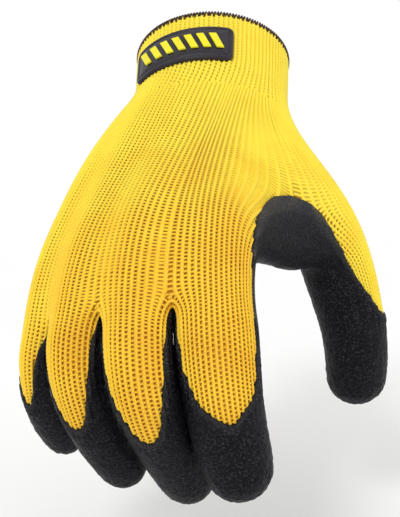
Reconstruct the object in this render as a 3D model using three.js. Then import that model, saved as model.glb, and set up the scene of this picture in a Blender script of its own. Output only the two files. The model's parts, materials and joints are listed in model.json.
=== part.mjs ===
// Knitted work glove with a latex-dipped palm, worn form of a right hand: seamless rib cuff,
// back of the hand and five fingers in one knit, one latex film over palm, sides and fingertips,
// an overlocked hem and a moulded rubber badge on the cuff.
// Millimetres, +Z up. The origin is the middle of the cuff opening. -Y is towards the fingertips
// and the back of the hand faces -Y and up, +X is the thumb side.
import * as THREE from 'three';

// Wall thicknesses and clearances
const knitWall = 1.8;
const filmWall = 0.8;
const layerGap = 0.3;
const pieceGap = 0.3;

// Cuff: outer width and depth at the hem and at the wrist, length along its middle, and its slope
const hemWidth = 67;
const hemDepth = 50.5;
const wristWidth = 65;
const wristDepth = 47;
const cuffLength = 33;
const cuffDrop = 34;
const cuffLean = -2;
const backTurn = 16;

// Hand: wrist to index knuckle, knuckle to finger crotch, palm depth, and its slope
const palmLength = 95;
const crotchPast = 27;
const palmDepth = 33;
const palmDrop = 21.5;
const thumbCrotchShare = 0.6;

// Fingers: bones of the middle finger in all, widest finger, and the room left between fingers
const fingerLength = 99;
const fingerWidth = 27;
const fingerDepth = 24.6;
const fingerSpace = 2.6;
const thumbLength = 69;
const thumbWidth = 24;
const thumbDepth = 23.6;

// Hem: a rim of thread over the cut edge, as ways past the hem and heights off the cuff's outside
const hemWide = 1.8;
const hemOver = 1.6;
const hemProud = 1.2;
const hemSection = [
  [-hemWide, -knitWall],
  [-hemWide / 2, hemProud],
  [hemOver, hemProud],
  [hemOver, pieceGap],
  [-pieceGap, pieceGap],
  [-pieceGap, -knitWall - pieceGap],
];

// Badge: arc length round the cuff, height along it, thickness, and the slanted bars on it
const badgeLength = 45.5;
const badgeHeight = 21;
const badgeThickness = 2;
const badgeCorner = 3;
const badgeBevel = 0.5;
const badgeTurn = -24;
const badgeMiddle = 22;
const badgeColumns = 9;
const barCount = 7;
const barPitch = 5.2;
const barWidth = 3;
const barHeight = 9;
const barSlant = 3.4;
const barThickness = 0.8;
const barBevel = 0.2;

// Columns of faces: over a digit's back and down its side, then the columns of a hand ring at which
// the back, the little finger's side, the palm side and the thumb's back begin
const BACK = 5;
const SIDE = 3;
const RING = 2 * (BACK + SIDE);
const LITTLE_SIDE = 4 * BACK;
const PALM_SIDE = LITTLE_SIDE + SIDE;
const WEB_SIDE = PALM_SIDE + 4 * BACK;
const THUMB_SIDE = WEB_SIDE + BACK;
const THUMB_BACK = THUMB_SIDE + SIDE;
const TRUNK = THUMB_BACK + BACK;
const corner = (Math.PI * BACK) / RING;
const columnDegrees = 360 / RING;

// Where each digit stands. from: the direction from the knuckle before it, across, along and above
// the palm. wide: its share of the widest finger. bones: shares of the finger length. lean and drop:
// each bone's lean to the thumb side and drop below level, in degrees. turn: how far its back is
// turned outwards. root: where its line leaves the wrist, as shares of the wrist's width and depth.
// saddles and knuckle: points of its line, as shares of the palm length from the wrist.
const fingers = [
  { name: 'index_finger', from: [0, 0, 0], wide: 1, bones: [0.495, 0.28, 0.24],
    lean: [1, 9, 16], drop: [50, 89, 93], turn: 2, root: [0.24, 0.1], saddles: [] },
  { name: 'middle_finger', from: [-1, 0.02, -0.06], wide: 0.84, bones: [0.55, 0.33, 0.29],
    lean: [1, 15, 21], drop: [50, 113, 119], turn: -22, root: [0.05, 0.12], saddles: [] },
  { name: 'ring_finger', from: [-0.8, -0.36, -0.48], wide: 0.78, bones: [0.49, 0.29, 0.27],
    lean: [-2, 15, 26], drop: [45, 104, 116], turn: -38, root: [-0.2, 0.1], saddles: [] },
  { name: 'little_finger', from: [-0.7, -0.42, -0.72], wide: 0.69, bones: [0.39, 0.22, 0.22],
    lean: [-2, 3, 18], drop: [48, 104, 121], turn: -48, root: [-0.4, 0], saddles: [[-0.5, 0.45, -0.16]] },
];
const thumb = { name: 'thumb', wide: 1, bones: [0.57, 0.43], lean: [16, 2], drop: [83, 97], turn: 88,
  root: [0.42, -0.1], saddles: [[0.42, 0.2, -0.16]], knuckle: [0.53, 0.5, -0.43] };

// Rows of the skin: shares of the cuff, of the way from the wrist to the crotches, and of a digit
const cuffRows = [0, 0.5, 1];
const cuffEndShare = 0.1;
const heelRows = [0.2, 0.3, 0.4, 0.5, 0.6];
const palmRows = [0.71, 0.82, 0.92, 1];
const digitRows = [0.07, 0.2, 0.35, 0.51, 0.68, 0.84, 1];
const domeAngles = [32, 60];

// Size of a digit's section along it: shares of its width and depth past its knuckle
const taper = [
  { past: 0, size: [1, 1] },
  { past: 0.5, size: [1, 0.98] },
  { past: 0.75, size: [0.92, 0.9] },
  { past: 1, size: [0.8, 0.8] },
];
const thumbTaper = [
  { past: 0, size: [1.12, 1.34] },
  { past: 0.3, size: [1.04, 1.14] },
  { past: 0.55, size: [1, 1.08] },
  { past: 1, size: [0.9, 0.96] },
];
const tipShare = 0.85;

// Shape of the hand between the wrist and the digits: breadth at the crotches, where the oval of the
// wrist ends, where the backs of the fingers start to part, and how the thumb and its web stand
const palmBreadth = 112;
const ovalEnd = 0.55;
const lobeStart = 0.35;
const lobeFlat = 0.94;
const padEnd = 0.3;
const padFade = 0.6;
const thumbRootShare = 0.9;
const thumbPad = 1.15;
const webPush = 10;
const webDrop = 20;
const webSink = 24;

// Smoothing of the skin: rounds, and how far a point moves towards its neighbours in one round
const calmRounds = 5;
const calmTrunk = 0.6;
const calmPalm = 0.35;
const calmWeb = 0.3;
const calmFingerRoot = 0.25;
const calmThumbRoots = [0.5, 0.3];
const cornerReach = 0.46;
const arcSteps = 40;

const rad = THREE.MathUtils.degToRad;
const mix = THREE.MathUtils.lerp;
const ease = THREE.MathUtils.smoothstep;
const vec = (x, y, z) => new THREE.Vector3(x, y, z);

/** Unit direction that leans to +X and drops below level, both in degrees, and otherwise runs to -Y. */
function heading(lean, drop) {
  const level = Math.cos(rad(lean));
  return vec(Math.sin(rad(lean)), -level * Math.cos(rad(drop)), -level * Math.sin(rad(drop)));
}

const cuffWay = heading(cuffLean, cuffDrop);
const across = vec(1, 0, 0).addScaledVector(cuffWay, -cuffWay.x).normalize();
const rise = cuffWay.clone().cross(across).normalize();
const wrist = cuffWay.clone().multiplyScalar(cuffLength);
const palmWay = heading(0, palmDrop);
const palmRise = palmWay.clone().cross(vec(1, 0, 0)).normalize();

/** A point given by its shares of the palm length across, along and above the palm, from the wrist. */
function palmPoint([x, y, z]) {
  const point = wrist.clone().add(vec(x * palmLength, 0, 0));
  return point.addScaledVector(palmWay, y * palmLength).addScaledVector(palmRise, z * palmLength);
}

/** A line through points with its corners rounded by quadratic arcs. */
function bentLine(points) {
  const path = new THREE.CurvePath();
  let last = points[0];
  for (let i = 1; i < points.length - 1; i += 1) {
    const [p, q, r] = [points[i - 1], points[i], points[i + 1]];
    const reach = cornerReach * Math.min(p.distanceTo(q), q.distanceTo(r));
    const start = q.clone().lerp(p, reach / p.distanceTo(q));
    const end = q.clone().lerp(r, reach / q.distanceTo(r));
    path.add(new THREE.LineCurve3(last, start));
    path.add(new THREE.QuadraticBezierCurve3(start, q, end));
    last = end;
  }
  path.add(new THREE.LineCurve3(last, points[points.length - 1]));
  return path;
}

/** Adds a digit's centre line, its length to the knuckle and in all, and its half width and depth. */
function layDigit(digit, knuckle, length, width, depth) {
  const root = wrist.clone().addScaledVector(across, digit.root[0] * wristWidth);
  root.addScaledVector(rise, digit.root[1] * wristDepth);
  const legs = [root, ...digit.saddles.map(palmPoint), knuckle];
  digit.toKnuckle = legs.slice(1).reduce((sum, leg, i) => sum + leg.distanceTo(legs[i]), 0);
  const line = [...legs];
  digit.bones.forEach((share, i) => {
    const way = heading(digit.lean[i], digit.drop[i]);
    line.push(line[line.length - 1].clone().addScaledVector(way, share * length));
  });
  digit.line = bentLine(line);
  digit.length = digit.line.getLength();
  digit.half = [(digit.wide * width) / 2, (digit.wide * depth) / 2];
}

const knuckles = [palmPoint([0, 1, -0.05])];
fingers.forEach((finger, i) => {
  if (i > 0) {
    const space = ((finger.wide + fingers[i - 1].wide) * fingerWidth) / 2 + fingerSpace;
    const [x, y, z] = finger.from;
    const way = vec(x, 0, 0).addScaledVector(palmWay, y).addScaledVector(palmRise, z).normalize();
    knuckles.push(knuckles[i - 1].clone().addScaledVector(way, space));
  }
  layDigit(finger, knuckles[i], fingerLength, fingerWidth, fingerDepth);
});
layDigit(thumb, palmPoint(thumb.knuckle), thumbLength, thumbWidth, thumbDepth);

/** Middle, way, side and back directions of a digit at an arc length from its root. */
function frameAt(digit, s) {
  const share = THREE.MathUtils.clamp(s / digit.length, 0, 1);
  const middle = digit.line.getPointAt(share);
  const way = digit.line.getTangentAt(share).normalize();
  const turned = way.clone().cross(vec(Math.cos(rad(digit.turn)), Math.sin(rad(digit.turn)), 0));
  turned.normalize();
  const blend = ease(s, 0, digit.toKnuckle);
  const back = rise.clone().lerp(turned, blend);
  back.addScaledVector(way, -back.dot(way)).normalize();
  const side = back.clone().cross(way).normalize();
  return { middle, way, side, back };
}

/** Half width and half depth of a digit at an arc length: widest at its knuckle, slimmer at the tip. */
function halfAt(digit, s) {
  const past = THREE.MathUtils.clamp((s - digit.toKnuckle) / (digit.length - digit.toKnuckle), 0, 1);
  const steps = digit === thumb ? thumbTaper : taper;
  const row = steps.findIndex((step) => step.past >= past);
  const [from, to] = [steps[Math.max(row - 1, 0)], steps[row]];
  const share = to === from ? 0 : (past - from.past) / (to.past - from.past);
  return digit.half.map((half, k) => half * mix(from.size[k], to.size[k], share));
}

/** A point of a digit's section at an angle from its back towards its side, lobed or flat on top. */
function sectionPoint(digit, frame, half, angle, lobe, palm) {
  const inwards = palm ? -1 : 1;
  const out = mix(angle / corner, Math.sin(angle), lobe);
  const up = mix(lobeFlat, Math.cos(angle), lobe);
  const depth = palm ? half[2] : half[1];
  const point = frame.middle.clone().addScaledVector(frame.side, half[0] * out);
  return point.addScaledVector(frame.back, inwards * depth * up);
}

// The skin: points, and the four-sided faces of each region as lists of point numbers
const points = [];
const add = (point) => points.push(point) - 1;
const ovalAngle = (i) => -rad(backTurn) + (2 * Math.PI * (2 * BACK - i)) / TRUNK;

/** A point of the smooth oval section that the cuff and the heel of the hand share. */
function ovalPoint(middle, side, back, half, i) {
  const point = middle.clone().addScaledVector(side, half[0] * Math.sin(ovalAngle(i)));
  return point.addScaledVector(back, half[1] * Math.cos(ovalAngle(i)));
}

/** The digit sections that cross the hand at a share of the way from the wrist to the crotches. */
function handSections(share) {
  const lobe = ease(share, lobeStart, 1);
  const list = fingers.map((finger) => {
    const s = share * (finger.toKnuckle + crotchPast);
    const [wide, deep] = halfAt(finger, s);
    const heel = mix(wristDepth / 2, palmDepth - deep, ease(share, 0, padEnd));
    const pad = mix(heel, deep, ease(share, padFade, 1));
    const half = [wide + mix(fingerSpace / 2, 0, lobe), deep, pad];
    return { digit: finger, frame: frameAt(finger, s), half, lobe };
  });
  const s = Math.min(share / thumbCrotchShare, 1) * thumb.toKnuckle * thumbRootShare;
  const [wide, deep] = halfAt(thumb, s);
  list.push({ digit: thumb, frame: frameAt(thumb, s), half: [wide, deep, deep * thumbPad], lobe: 1 });
  return list;
}

const handPoint = (section, angle, palm) =>
  sectionPoint(section.digit, section.frame, section.half, angle, section.lobe, palm);

/** A point of the hand's section, numbered as the trunk rings are, from the thumb web over the back. */
function trunkPoint(sections, i) {
  const step = (2 * corner) / BACK;
  const last = sections.length - 1;
  const at = (f, j, palm) => handPoint(sections[f], corner - step * j, palm);
  const meet = (a, b) => a.lerp(b, 0.5);
  if (i === 0 || i === TRUNK) return meet(at(0, 0, false), at(last, BACK, false));
  if (i < LITTLE_SIDE) {
    const [f, j] = [Math.floor(i / BACK), i % BACK];
    return j ? at(f, j, false) : meet(at(f - 1, BACK, false), at(f, 0, false));
  }
  if (i <= PALM_SIDE) return sidePoint(sections[last - 1], -1, (i - LITTLE_SIDE) / SIDE);
  if (i < WEB_SIDE) {
    const [f, j] = [last - 1 - Math.floor((i - PALM_SIDE) / BACK), BACK - ((i - PALM_SIDE) % BACK)];
    return j < BACK ? at(f, j, true) : meet(at(f + 1, 0, true), at(f, BACK, true));
  }
  if (i === WEB_SIDE) return meet(at(0, 0, true), at(last, BACK, true));
  if (i <= THUMB_SIDE) return at(last, BACK - (i - WEB_SIDE), true);
  if (i < THUMB_BACK) return sidePoint(sections[last], 1, (THUMB_BACK - i) / SIDE);
  return at(last, i - THUMB_BACK, false);
}

/** A point down a digit's side, from the corner of its back to the corner of its palm side. */
function sidePoint(section, hand, share) {
  const angle = corner + share * (Math.PI - 2 * corner);
  const { frame, half } = section;
  const depth = Math.cos(angle) > 0 ? half[1] : half[2];
  const point = frame.middle.clone().addScaledVector(frame.side, hand * half[0] * Math.sin(angle));
  return point.addScaledVector(frame.back, depth * Math.cos(angle));
}

const cuffRings = cuffRows.map((share) => {
  const middle = cuffWay.clone().multiplyScalar(cuffLength * share);
  const half = [mix(hemWidth, wristWidth, share) / 2, mix(hemDepth, wristDepth, share) / 2];
  return Array.from({ length: TRUNK }, (_, i) => add(ovalPoint(middle, across, rise, half, i)));
});

const meanMiddle = (sections) => {
  const sum = vec(0, 0, 0);
  const hand = sections.filter((section) => section.digit !== thumb);
  hand.forEach((section) => sum.add(section.frame.middle));
  return sum.divideScalar(hand.length);
};
const startMiddle = meanMiddle(handSections(0));

/** One ring of the hand: the oval of the wrist turning into the sections of the digits. */
function handRing(share, count) {
  const sections = handSections(share);
  const middle = meanMiddle(sections).sub(startMiddle).add(wrist);
  const half = [mix(wristWidth, palmBreadth, share) / 2, mix(wristDepth, palmDepth, share) / 2];
  const blend = ease(share, 0, ovalEnd);
  return Array.from({ length: count }, (_, i) =>
    add(ovalPoint(middle, across, rise, half, i).lerp(trunkPoint(sections, i), blend)));
}

const wristRing = handRing(cuffEndShare, TRUNK);
cuffRings.push(wristRing);
const heelRings = heelRows.map((share) => handRing(share, TRUNK));
const webRing = heelRings[heelRings.length - 1];

/** Points of the web between two digits, over from a back point to a palm point. */
function webPoints(from, to, push) {
  return [1, 2].map((k) => {
    const point = points[from].clone().lerp(points[to], k / SIDE);
    return add(point.add(push));
  });
}

points[webRing[WEB_SIDE]].add(vec(0, 0, -webSink));
const thumbWeb = webPoints(webRing[0], webRing[WEB_SIDE], vec(0, -webPush, -webDrop));
const palmRings = [[...webRing.slice(0, WEB_SIDE + 1), thumbWeb[1], thumbWeb[0]]];
palmRows.forEach((share) => {
  const ring = handRing(share, WEB_SIDE + 1);
  const [index] = handSections(share);
  points[ring[0]] = handPoint(index, corner, false);
  points[ring[WEB_SIDE]] = handPoint(index, corner, true);
  ring.push(add(sidePoint(index, 1, 2 / SIDE)), add(sidePoint(index, 1, 1 / SIDE)));
  palmRings.push(ring);
});

const lastRing = palmRings[palmRings.length - 1];
const fingerWebs = fingers.slice(1).map((_, f) =>
  webPoints(lastRing[BACK * (f + 1)], lastRing[WEB_SIDE - BACK * (f + 1)], vec(0, 0, 0)));

/** The columns of a hand ring that run over a finger's back, and those under it. */
const backOf = (ring, f) => ring.slice(BACK * f, BACK * (f + 1) + 1);
const underOf = (ring, f) => ring.slice(WEB_SIDE - BACK * (f + 1), WEB_SIDE - BACK * f + 1);

/** The first ring of a finger: over its back, down the outer side, under, and up the thumb side. */
function rootRing(f) {
  const back = backOf(lastRing, f);
  const under = underOf(lastRing, f);
  const outer = fingerWebs[f] ?? lastRing.slice(LITTLE_SIDE + 1, PALM_SIDE);
  const inner = f > 0 ? [...fingerWebs[f - 1]].reverse() : lastRing.slice(WEB_SIDE + 1);
  return [...back, ...outer, ...under, ...inner];
}

/** All rings of a digit from its root ring to the ring that its rounded tip stands on. */
function digitRings(digit, root, startAt) {
  const tip = digit.length - tipShare * digit.half[0];
  return [root, ...digitRows.map((share) => {
    const s = mix(startAt, tip, share);
    const half = halfAt(digit, s);
    const section = { digit, frame: frameAt(digit, s), half: [half[0], half[1], half[1]], lobe: 1 };
    return ringOf(section);
  })];
}

/** Sixteen points round a digit's section, in the order of its root ring. */
function ringOf({ frame, half }, size = 1, forward = 0) {
  return Array.from({ length: RING }, (_, k) => {
    const angle = corner - (2 * Math.PI * k) / RING;
    const point = frame.middle.clone().addScaledVector(frame.side, half[0] * size * Math.sin(angle));
    point.addScaledVector(frame.back, half[1] * size * Math.cos(angle));
    return add(point.addScaledVector(frame.way, forward));
  });
}

/** Rounds the end of a digit: two smaller rings, and a grid of faces over the top of the dome. */
function roundTip(digit) {
  const tip = digit.length - tipShare * digit.half[0];
  const half = halfAt(digit, tip);
  const section = { frame: frameAt(digit, tip), half };
  const dome = (angle) => ringOf(section, Math.cos(angle), tipShare * digit.half[0] * Math.sin(angle));
  const rings = domeAngles.map((angle) => dome(rad(angle)));
  const rim = rings[rings.length - 1];
  const grid = Array.from({ length: SIDE + 1 }, () => []);
  for (let j = 0; j <= SIDE; j += 1) {
    for (let i = 0; i <= BACK; i += 1) {
      if (j === 0) grid[j].push(rim[i]);
      else if (j === SIDE) grid[j].push(rim[2 * BACK + SIDE - i]);
      else if (i === BACK) grid[j].push(rim[BACK + j]);
      else if (i === 0) grid[j].push(rim[RING - j]);
      else grid[j].push(null);
    }
  }
  for (let j = 1; j < SIDE; j += 1) {
    for (let i = 1; i < BACK; i += 1) {
      const [u, v] = [i / BACK, j / SIDE];
      const along = points[grid[j][0]].clone().lerp(points[grid[j][BACK]], u);
      const over = points[grid[0][i]].clone().lerp(points[grid[SIDE][i]], v);
      const flat = along.lerp(over, 0.5);
      const { frame } = section;
      const off = flat.clone().sub(frame.middle);
      const [x, y] = [off.dot(frame.side) / half[0], off.dot(frame.back) / half[1]];
      const up = tipShare * digit.half[0] * Math.sqrt(Math.max(1 - x * x - y * y, 0));
      const point = frame.middle.clone().addScaledVector(frame.side, x * half[0]);
      grid[j][i] = add(point.addScaledVector(frame.back, y * half[1]).addScaledVector(frame.way, up));
    }
  }
  const cap = [];
  for (let j = 0; j < SIDE; j += 1) {
    for (let i = 0; i < BACK; i += 1) {
      cap.push([grid[j][i], grid[j][i + 1], grid[j + 1][i + 1], grid[j + 1][i]]);
    }
  }
  return { rings, cap };
}

const thumbRing = [...webRing.slice(THUMB_BACK), webRing[0], ...thumbWeb,
  ...webRing.slice(WEB_SIDE, THUMB_BACK)];
const digitSkins = [...fingers, thumb].map((digit, f) => {
  const root = digit === thumb ? thumbRing : rootRing(f);
  const startAt = digit === thumb ? digit.toKnuckle * thumbRootShare : digit.toKnuckle + crotchPast;
  const rings = digitRings(digit, root, startAt);
  const end = roundTip(digit);
  const tip = digit.length - tipShare * digit.half[0];
  return { digit, rings: [...rings, ...end.rings], cap: end.cap, startAt, tip };
});

/** Faces between rings that follow each other. */
function stripFaces(rings) {
  const list = [];
  for (let r = 0; r + 1 < rings.length; r += 1) {
    rings[r].forEach((_, i) => {
      const j = (i + 1) % rings[r].length;
      list.push([rings[r][i], rings[r][j], rings[r + 1][j], rings[r + 1][i]]);
    });
  }
  return list;
}
const cuffFaces = stripFaces(cuffRings);
const handFaces = [...stripFaces([wristRing, ...heelRings]), ...stripFaces(palmRings)];
const digitFaces = digitSkins.map(({ rings, cap }) => [...stripFaces(rings), ...cap]);
const allFaces = [...cuffFaces, ...handFaces, ...digitFaces.flat()];

/** Evens out the skin: each point moves towards the middle of its neighbours by its own share. */
function relax(shares, rounds) {
  const near = points.map(() => new Set());
  allFaces.forEach((face) => face.forEach((id, i) => {
    near[id].add(face[(i + 1) % 4]);
    near[id].add(face[(i + 3) % 4]);
  }));
  for (let round = 0; round < rounds; round += 1) {
    const before = points.map((point) => point.clone());
    points.forEach((point, id) => {
      if (!shares[id]) return;
      const middle = vec(0, 0, 0);
      near[id].forEach((other) => middle.add(before[other]));
      point.lerp(middle.divideScalar(near[id].size), shares[id]);
    });
  }
}
const shares = points.map(() => 0);
const setShare = (ring, value) => ring.forEach((id) => { shares[id] = value; });
setShare(wristRing, calmTrunk);
heelRings.forEach((ring) => setShare(ring, calmTrunk));
palmRings.slice(1).forEach((ring) => setShare(ring, calmPalm));
digitSkins.forEach(({ digit, rings }) => {
  const roots = digit === thumb ? calmThumbRoots : [calmFingerRoot];
  roots.forEach((share, r) => setShare(rings[r + 1], share));
});
[...fingerWebs, thumbWeb, [webRing[WEB_SIDE]]].forEach((web) => setShare(web, calmWeb));
relax(shares, calmRounds);

// The edge of the dipped film on a digit: how far the bare knit reaches from the middle of the back, in
// degrees, on the digit's thumb side (plus) and on its other side (minus). at: the share of the way
// from the crotch to the tip. Below zero the film closes over the back.
const bareFinger = [
  { at: 0, plus: 82, minus: 84 },
  { at: 0.12, plus: 76, minus: 76 },
  { at: 0.27, plus: 67, minus: 70 },
  { at: 0.4, plus: 50, minus: 56 },
  { at: 0.49, plus: 26, minus: 30 },
  { at: 0.55, plus: -12, minus: -12 },
  { at: 1, plus: -60, minus: -60 },
];
const bareThumb = [
  { at: 0, plus: 100, minus: 42 },
  { at: 0.06, plus: 90, minus: 58 },
  { at: 0.17, plus: 80, minus: 74 },
  { at: 0.3, plus: 60, minus: 62 },
  { at: 0.4, plus: 36, minus: 40 },
  { at: 0.5, plus: -12, minus: -12 },
  { at: 1, plus: -60, minus: -60 },
];

// The film's edges on the hand: the ring columns that it runs between, over the heel and the thumb and
// then row by row to the fingers, its first row by the wrist, and the columns where the edge climbs
// onto the back of the thumb web. past: degrees past the edge.
const filmFrom = 21.8;
const filmTo = 49.3;
const filmToFingers = [46.5, 45.7, 44.9, 44.8];
const filmStart = 0.13;
const filmFade = 0.08;
const filmAtWeb = [
  { row: 3, column: 0, past: -9 },
  { row: 4, column: 0, past: 14 },
  { row: 4, column: 1, past: -3 },
];
const crotchLift = 2.4;

/** How far past the edge of the film a point of a digit is, in degrees round the digit. */
function pastEdge(table, share, angle) {
  const row = Math.max(1, table.findIndex((step) => step.at >= share));
  const [from, to] = [table[row - 1], table[row]];
  const part = (share - from.at) / (to.at - from.at);
  const side = angle > 0 ? 'plus' : 'minus';
  return Math.abs(angle) - mix(from[side], to[side], part);
}

const film = points.map(() => -columnDegrees);
heelRings.forEach((ring, r) => ring.forEach((id, i) => {
  const sideways = Math.min(i - filmFrom, filmTo - i);
  film[id] = columnDegrees * Math.min(sideways, (heelRows[r] - filmStart) / filmFade);
}));
palmRings.slice(1).forEach((ring, r) => ring.forEach((id, i) => {
  const [from, to] = [i - filmFrom, filmToFingers[r] - i];
  film[id] = columnDegrees * (i < 2 ? to - ring.length : Math.min(from, to));
}));
digitSkins.forEach(({ digit, rings, cap, startAt, tip }) => {
  const reach = (tip - startAt) / (digit.length - startAt);
  rings.forEach((ring, r) => ring.forEach((id, k) => {
    const share = r === 0 ? 0 : reach * (digitRows[r - 1] ?? 1);
    let angle = THREE.MathUtils.radToDeg(corner) - columnDegrees * k;
    if (angle < -180) angle += 360;
    film[id] = pastEdge(digit === thumb ? bareThumb : bareFinger, share, angle);
  }));
  cap.flat().forEach((id) => { film[id] = columnDegrees; });
});
filmAtWeb.forEach(({ row, column, past }) => { film[heelRings[row][column]] = past; });
film.forEach((value, id) => { film[id] = THREE.MathUtils.clamp(value, -columnDegrees, columnDegrees); });

/** Outward directions of the skin's points over a list of faces, weighted by area. */
function outwards(list) {
  const normals = points.map(() => vec(0, 0, 0));
  list.forEach(([a, b, c, d]) => {
    const normal = points[c].clone().sub(points[a]).cross(points[d].clone().sub(points[b]));
    [a, b, c, d].forEach((id) => normals[id].add(normal));
  });
  return normals.map((normal) => normal.normalize());
}

const ringSum = (ring) => ring.reduce((sum, id) => sum.add(points[id]), vec(0, 0, 0));
const ringMiddle = (ring) => ringSum(ring).divideScalar(ring.length);

/** The direction that a ring faces, towards the fingertips, square to its mean plane. */
function ringWay(ring) {
  const middle = ringMiddle(ring);
  const way = vec(0, 0, 0);
  ring.forEach((id, i) => {
    const next = points[ring[(i + 1) % ring.length]].clone().sub(middle);
    way.add(points[id].clone().sub(middle).cross(next));
  });
  return way.normalize();
}
const trunkNormals = outwards([...cuffFaces, ...handFaces]);
const skinNormals = outwards(allFaces);

// Between two fingers the film bridges the narrow crotch, so it stands further off the knit there
const filmLift = points.map(() => 1);
fingerWebs.forEach((web, f) => {
  const way = ringMiddle(digitSkins[f].rings[1]).sub(ringMiddle(digitSkins[f].rings[0]));
  way.add(ringMiddle(digitSkins[f + 1].rings[1])).sub(ringMiddle(digitSkins[f + 1].rings[0]));
  web.forEach((id) => {
    skinNormals[id].copy(way).normalize();
    filmLift[id] = crotchLift;
  });
});

/** A closed solid under construction: its corners and its faces, each face turned outwards. */
class Shell {
  constructor() {
    this.corners = [];
    this.triangles = [];
  }

  add(point) {
    return this.corners.push(point) - 1;
  }

  face(...ids) {
    for (let i = 1; i + 1 < ids.length; i += 1) {
      if (ids[0] !== ids[i] && ids[i] !== ids[i + 1] && ids[0] !== ids[i + 1]) {
        this.triangles.push(ids[0], ids[i], ids[i + 1]);
      }
    }
  }

  /** Faces between two rows of corners, outwards as the skin's rings are, or inwards. */
  strip(first, second, closed, inwards) {
    const count = closed ? first.length : first.length - 1;
    for (let i = 0; i < count; i += 1) {
      const j = (i + 1) % first.length;
      if (inwards) this.face(first[i], second[i], second[j], first[j]);
      else this.face(first[i], first[j], second[j], second[i]);
    }
  }

  mesh(name, finish) {
    const geometry = new THREE.BufferGeometry();
    const flat = this.corners.flatMap((point) => point.toArray());
    geometry.setAttribute('position', new THREE.Float32BufferAttribute(flat, 3));
    geometry.setIndex(this.triangles);
    geometry.computeVertexNormals();
    const mesh = new THREE.Mesh(geometry, new THREE.MeshStandardMaterial(finish));
    mesh.name = name;
    return mesh;
  }
}

const knitFinish = { color: 0xf4ce2c, roughness: 0.9, metalness: 0 };
const latexFinish = { color: 0x232329, roughness: 0.45, metalness: 0 };
const rubberFinish = { color: 0x2a2830, roughness: 0.5, metalness: 0 };
const threadFinish = { color: 0x3a2318, roughness: 0.9, metalness: 0 };
const barFinish = { color: 0xf2e126, roughness: 0.5, metalness: 0 };

/** A point moved one wall towards a target. */
function inset(point, target) {
  return point.clone().addScaledVector(target.clone().sub(point).normalize(), knitWall);
}
const innerTrunk = (id) => points[id].clone().addScaledVector(trunkNormals[id], -knitWall);
const innerSkin = (id) => points[id].clone().addScaledVector(skinNormals[id], -knitWall);

// Where two hollows part: the points along each crotch, and the two ends of each crotch on the skin
const crotchPoints = new Set(fingerWebs.flat());
const crotchEnds = new Set([webRing[0], ...thumbWeb, webRing[WEB_SIDE]]);
fingers.slice(1).forEach((_, f) => {
  crotchEnds.add(backOf(lastRing, f)[BACK]);
  crotchEnds.add(underOf(lastRing, f)[0]);
});

/** The inside of the skin where a hollow starts: one wall in from the skin and from each crotch. */
function insideRing(ring) {
  const middle = ringMiddle(ring);
  return ring.map((id) => {
    if (crotchPoints.has(id)) return inset(points[id], middle);
    return crotchEnds.has(id) ? inset(innerSkin(id), middle) : innerSkin(id);
  });
}

/** The ring that starts a piece, moved on from the piece before it by the gap between them. */
const startRow = (row, way) => row.map((point) => point.clone().addScaledVector(way, pieceGap));

/** The cuff: a ribbed tube from the hem to the wrist, open at both ends. */
function makeCuff() {
  const shell = new Shell();
  const outer = cuffRings.map((ring) => ring.map((id) => shell.add(points[id].clone())));
  const inner = cuffRings.map((ring) => ring.map((id) => shell.add(innerTrunk(id))));
  const last = outer.length - 1;
  for (let r = 0; r < last; r += 1) {
    shell.strip(outer[r], outer[r + 1], true, false);
    shell.strip(inner[r], inner[r + 1], true, true);
  }
  shell.strip(outer[0], inner[0], true, true);
  shell.strip(outer[last], inner[last], true, false);
  return shell.mesh('rib_cuff', knitFinish);
}

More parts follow.
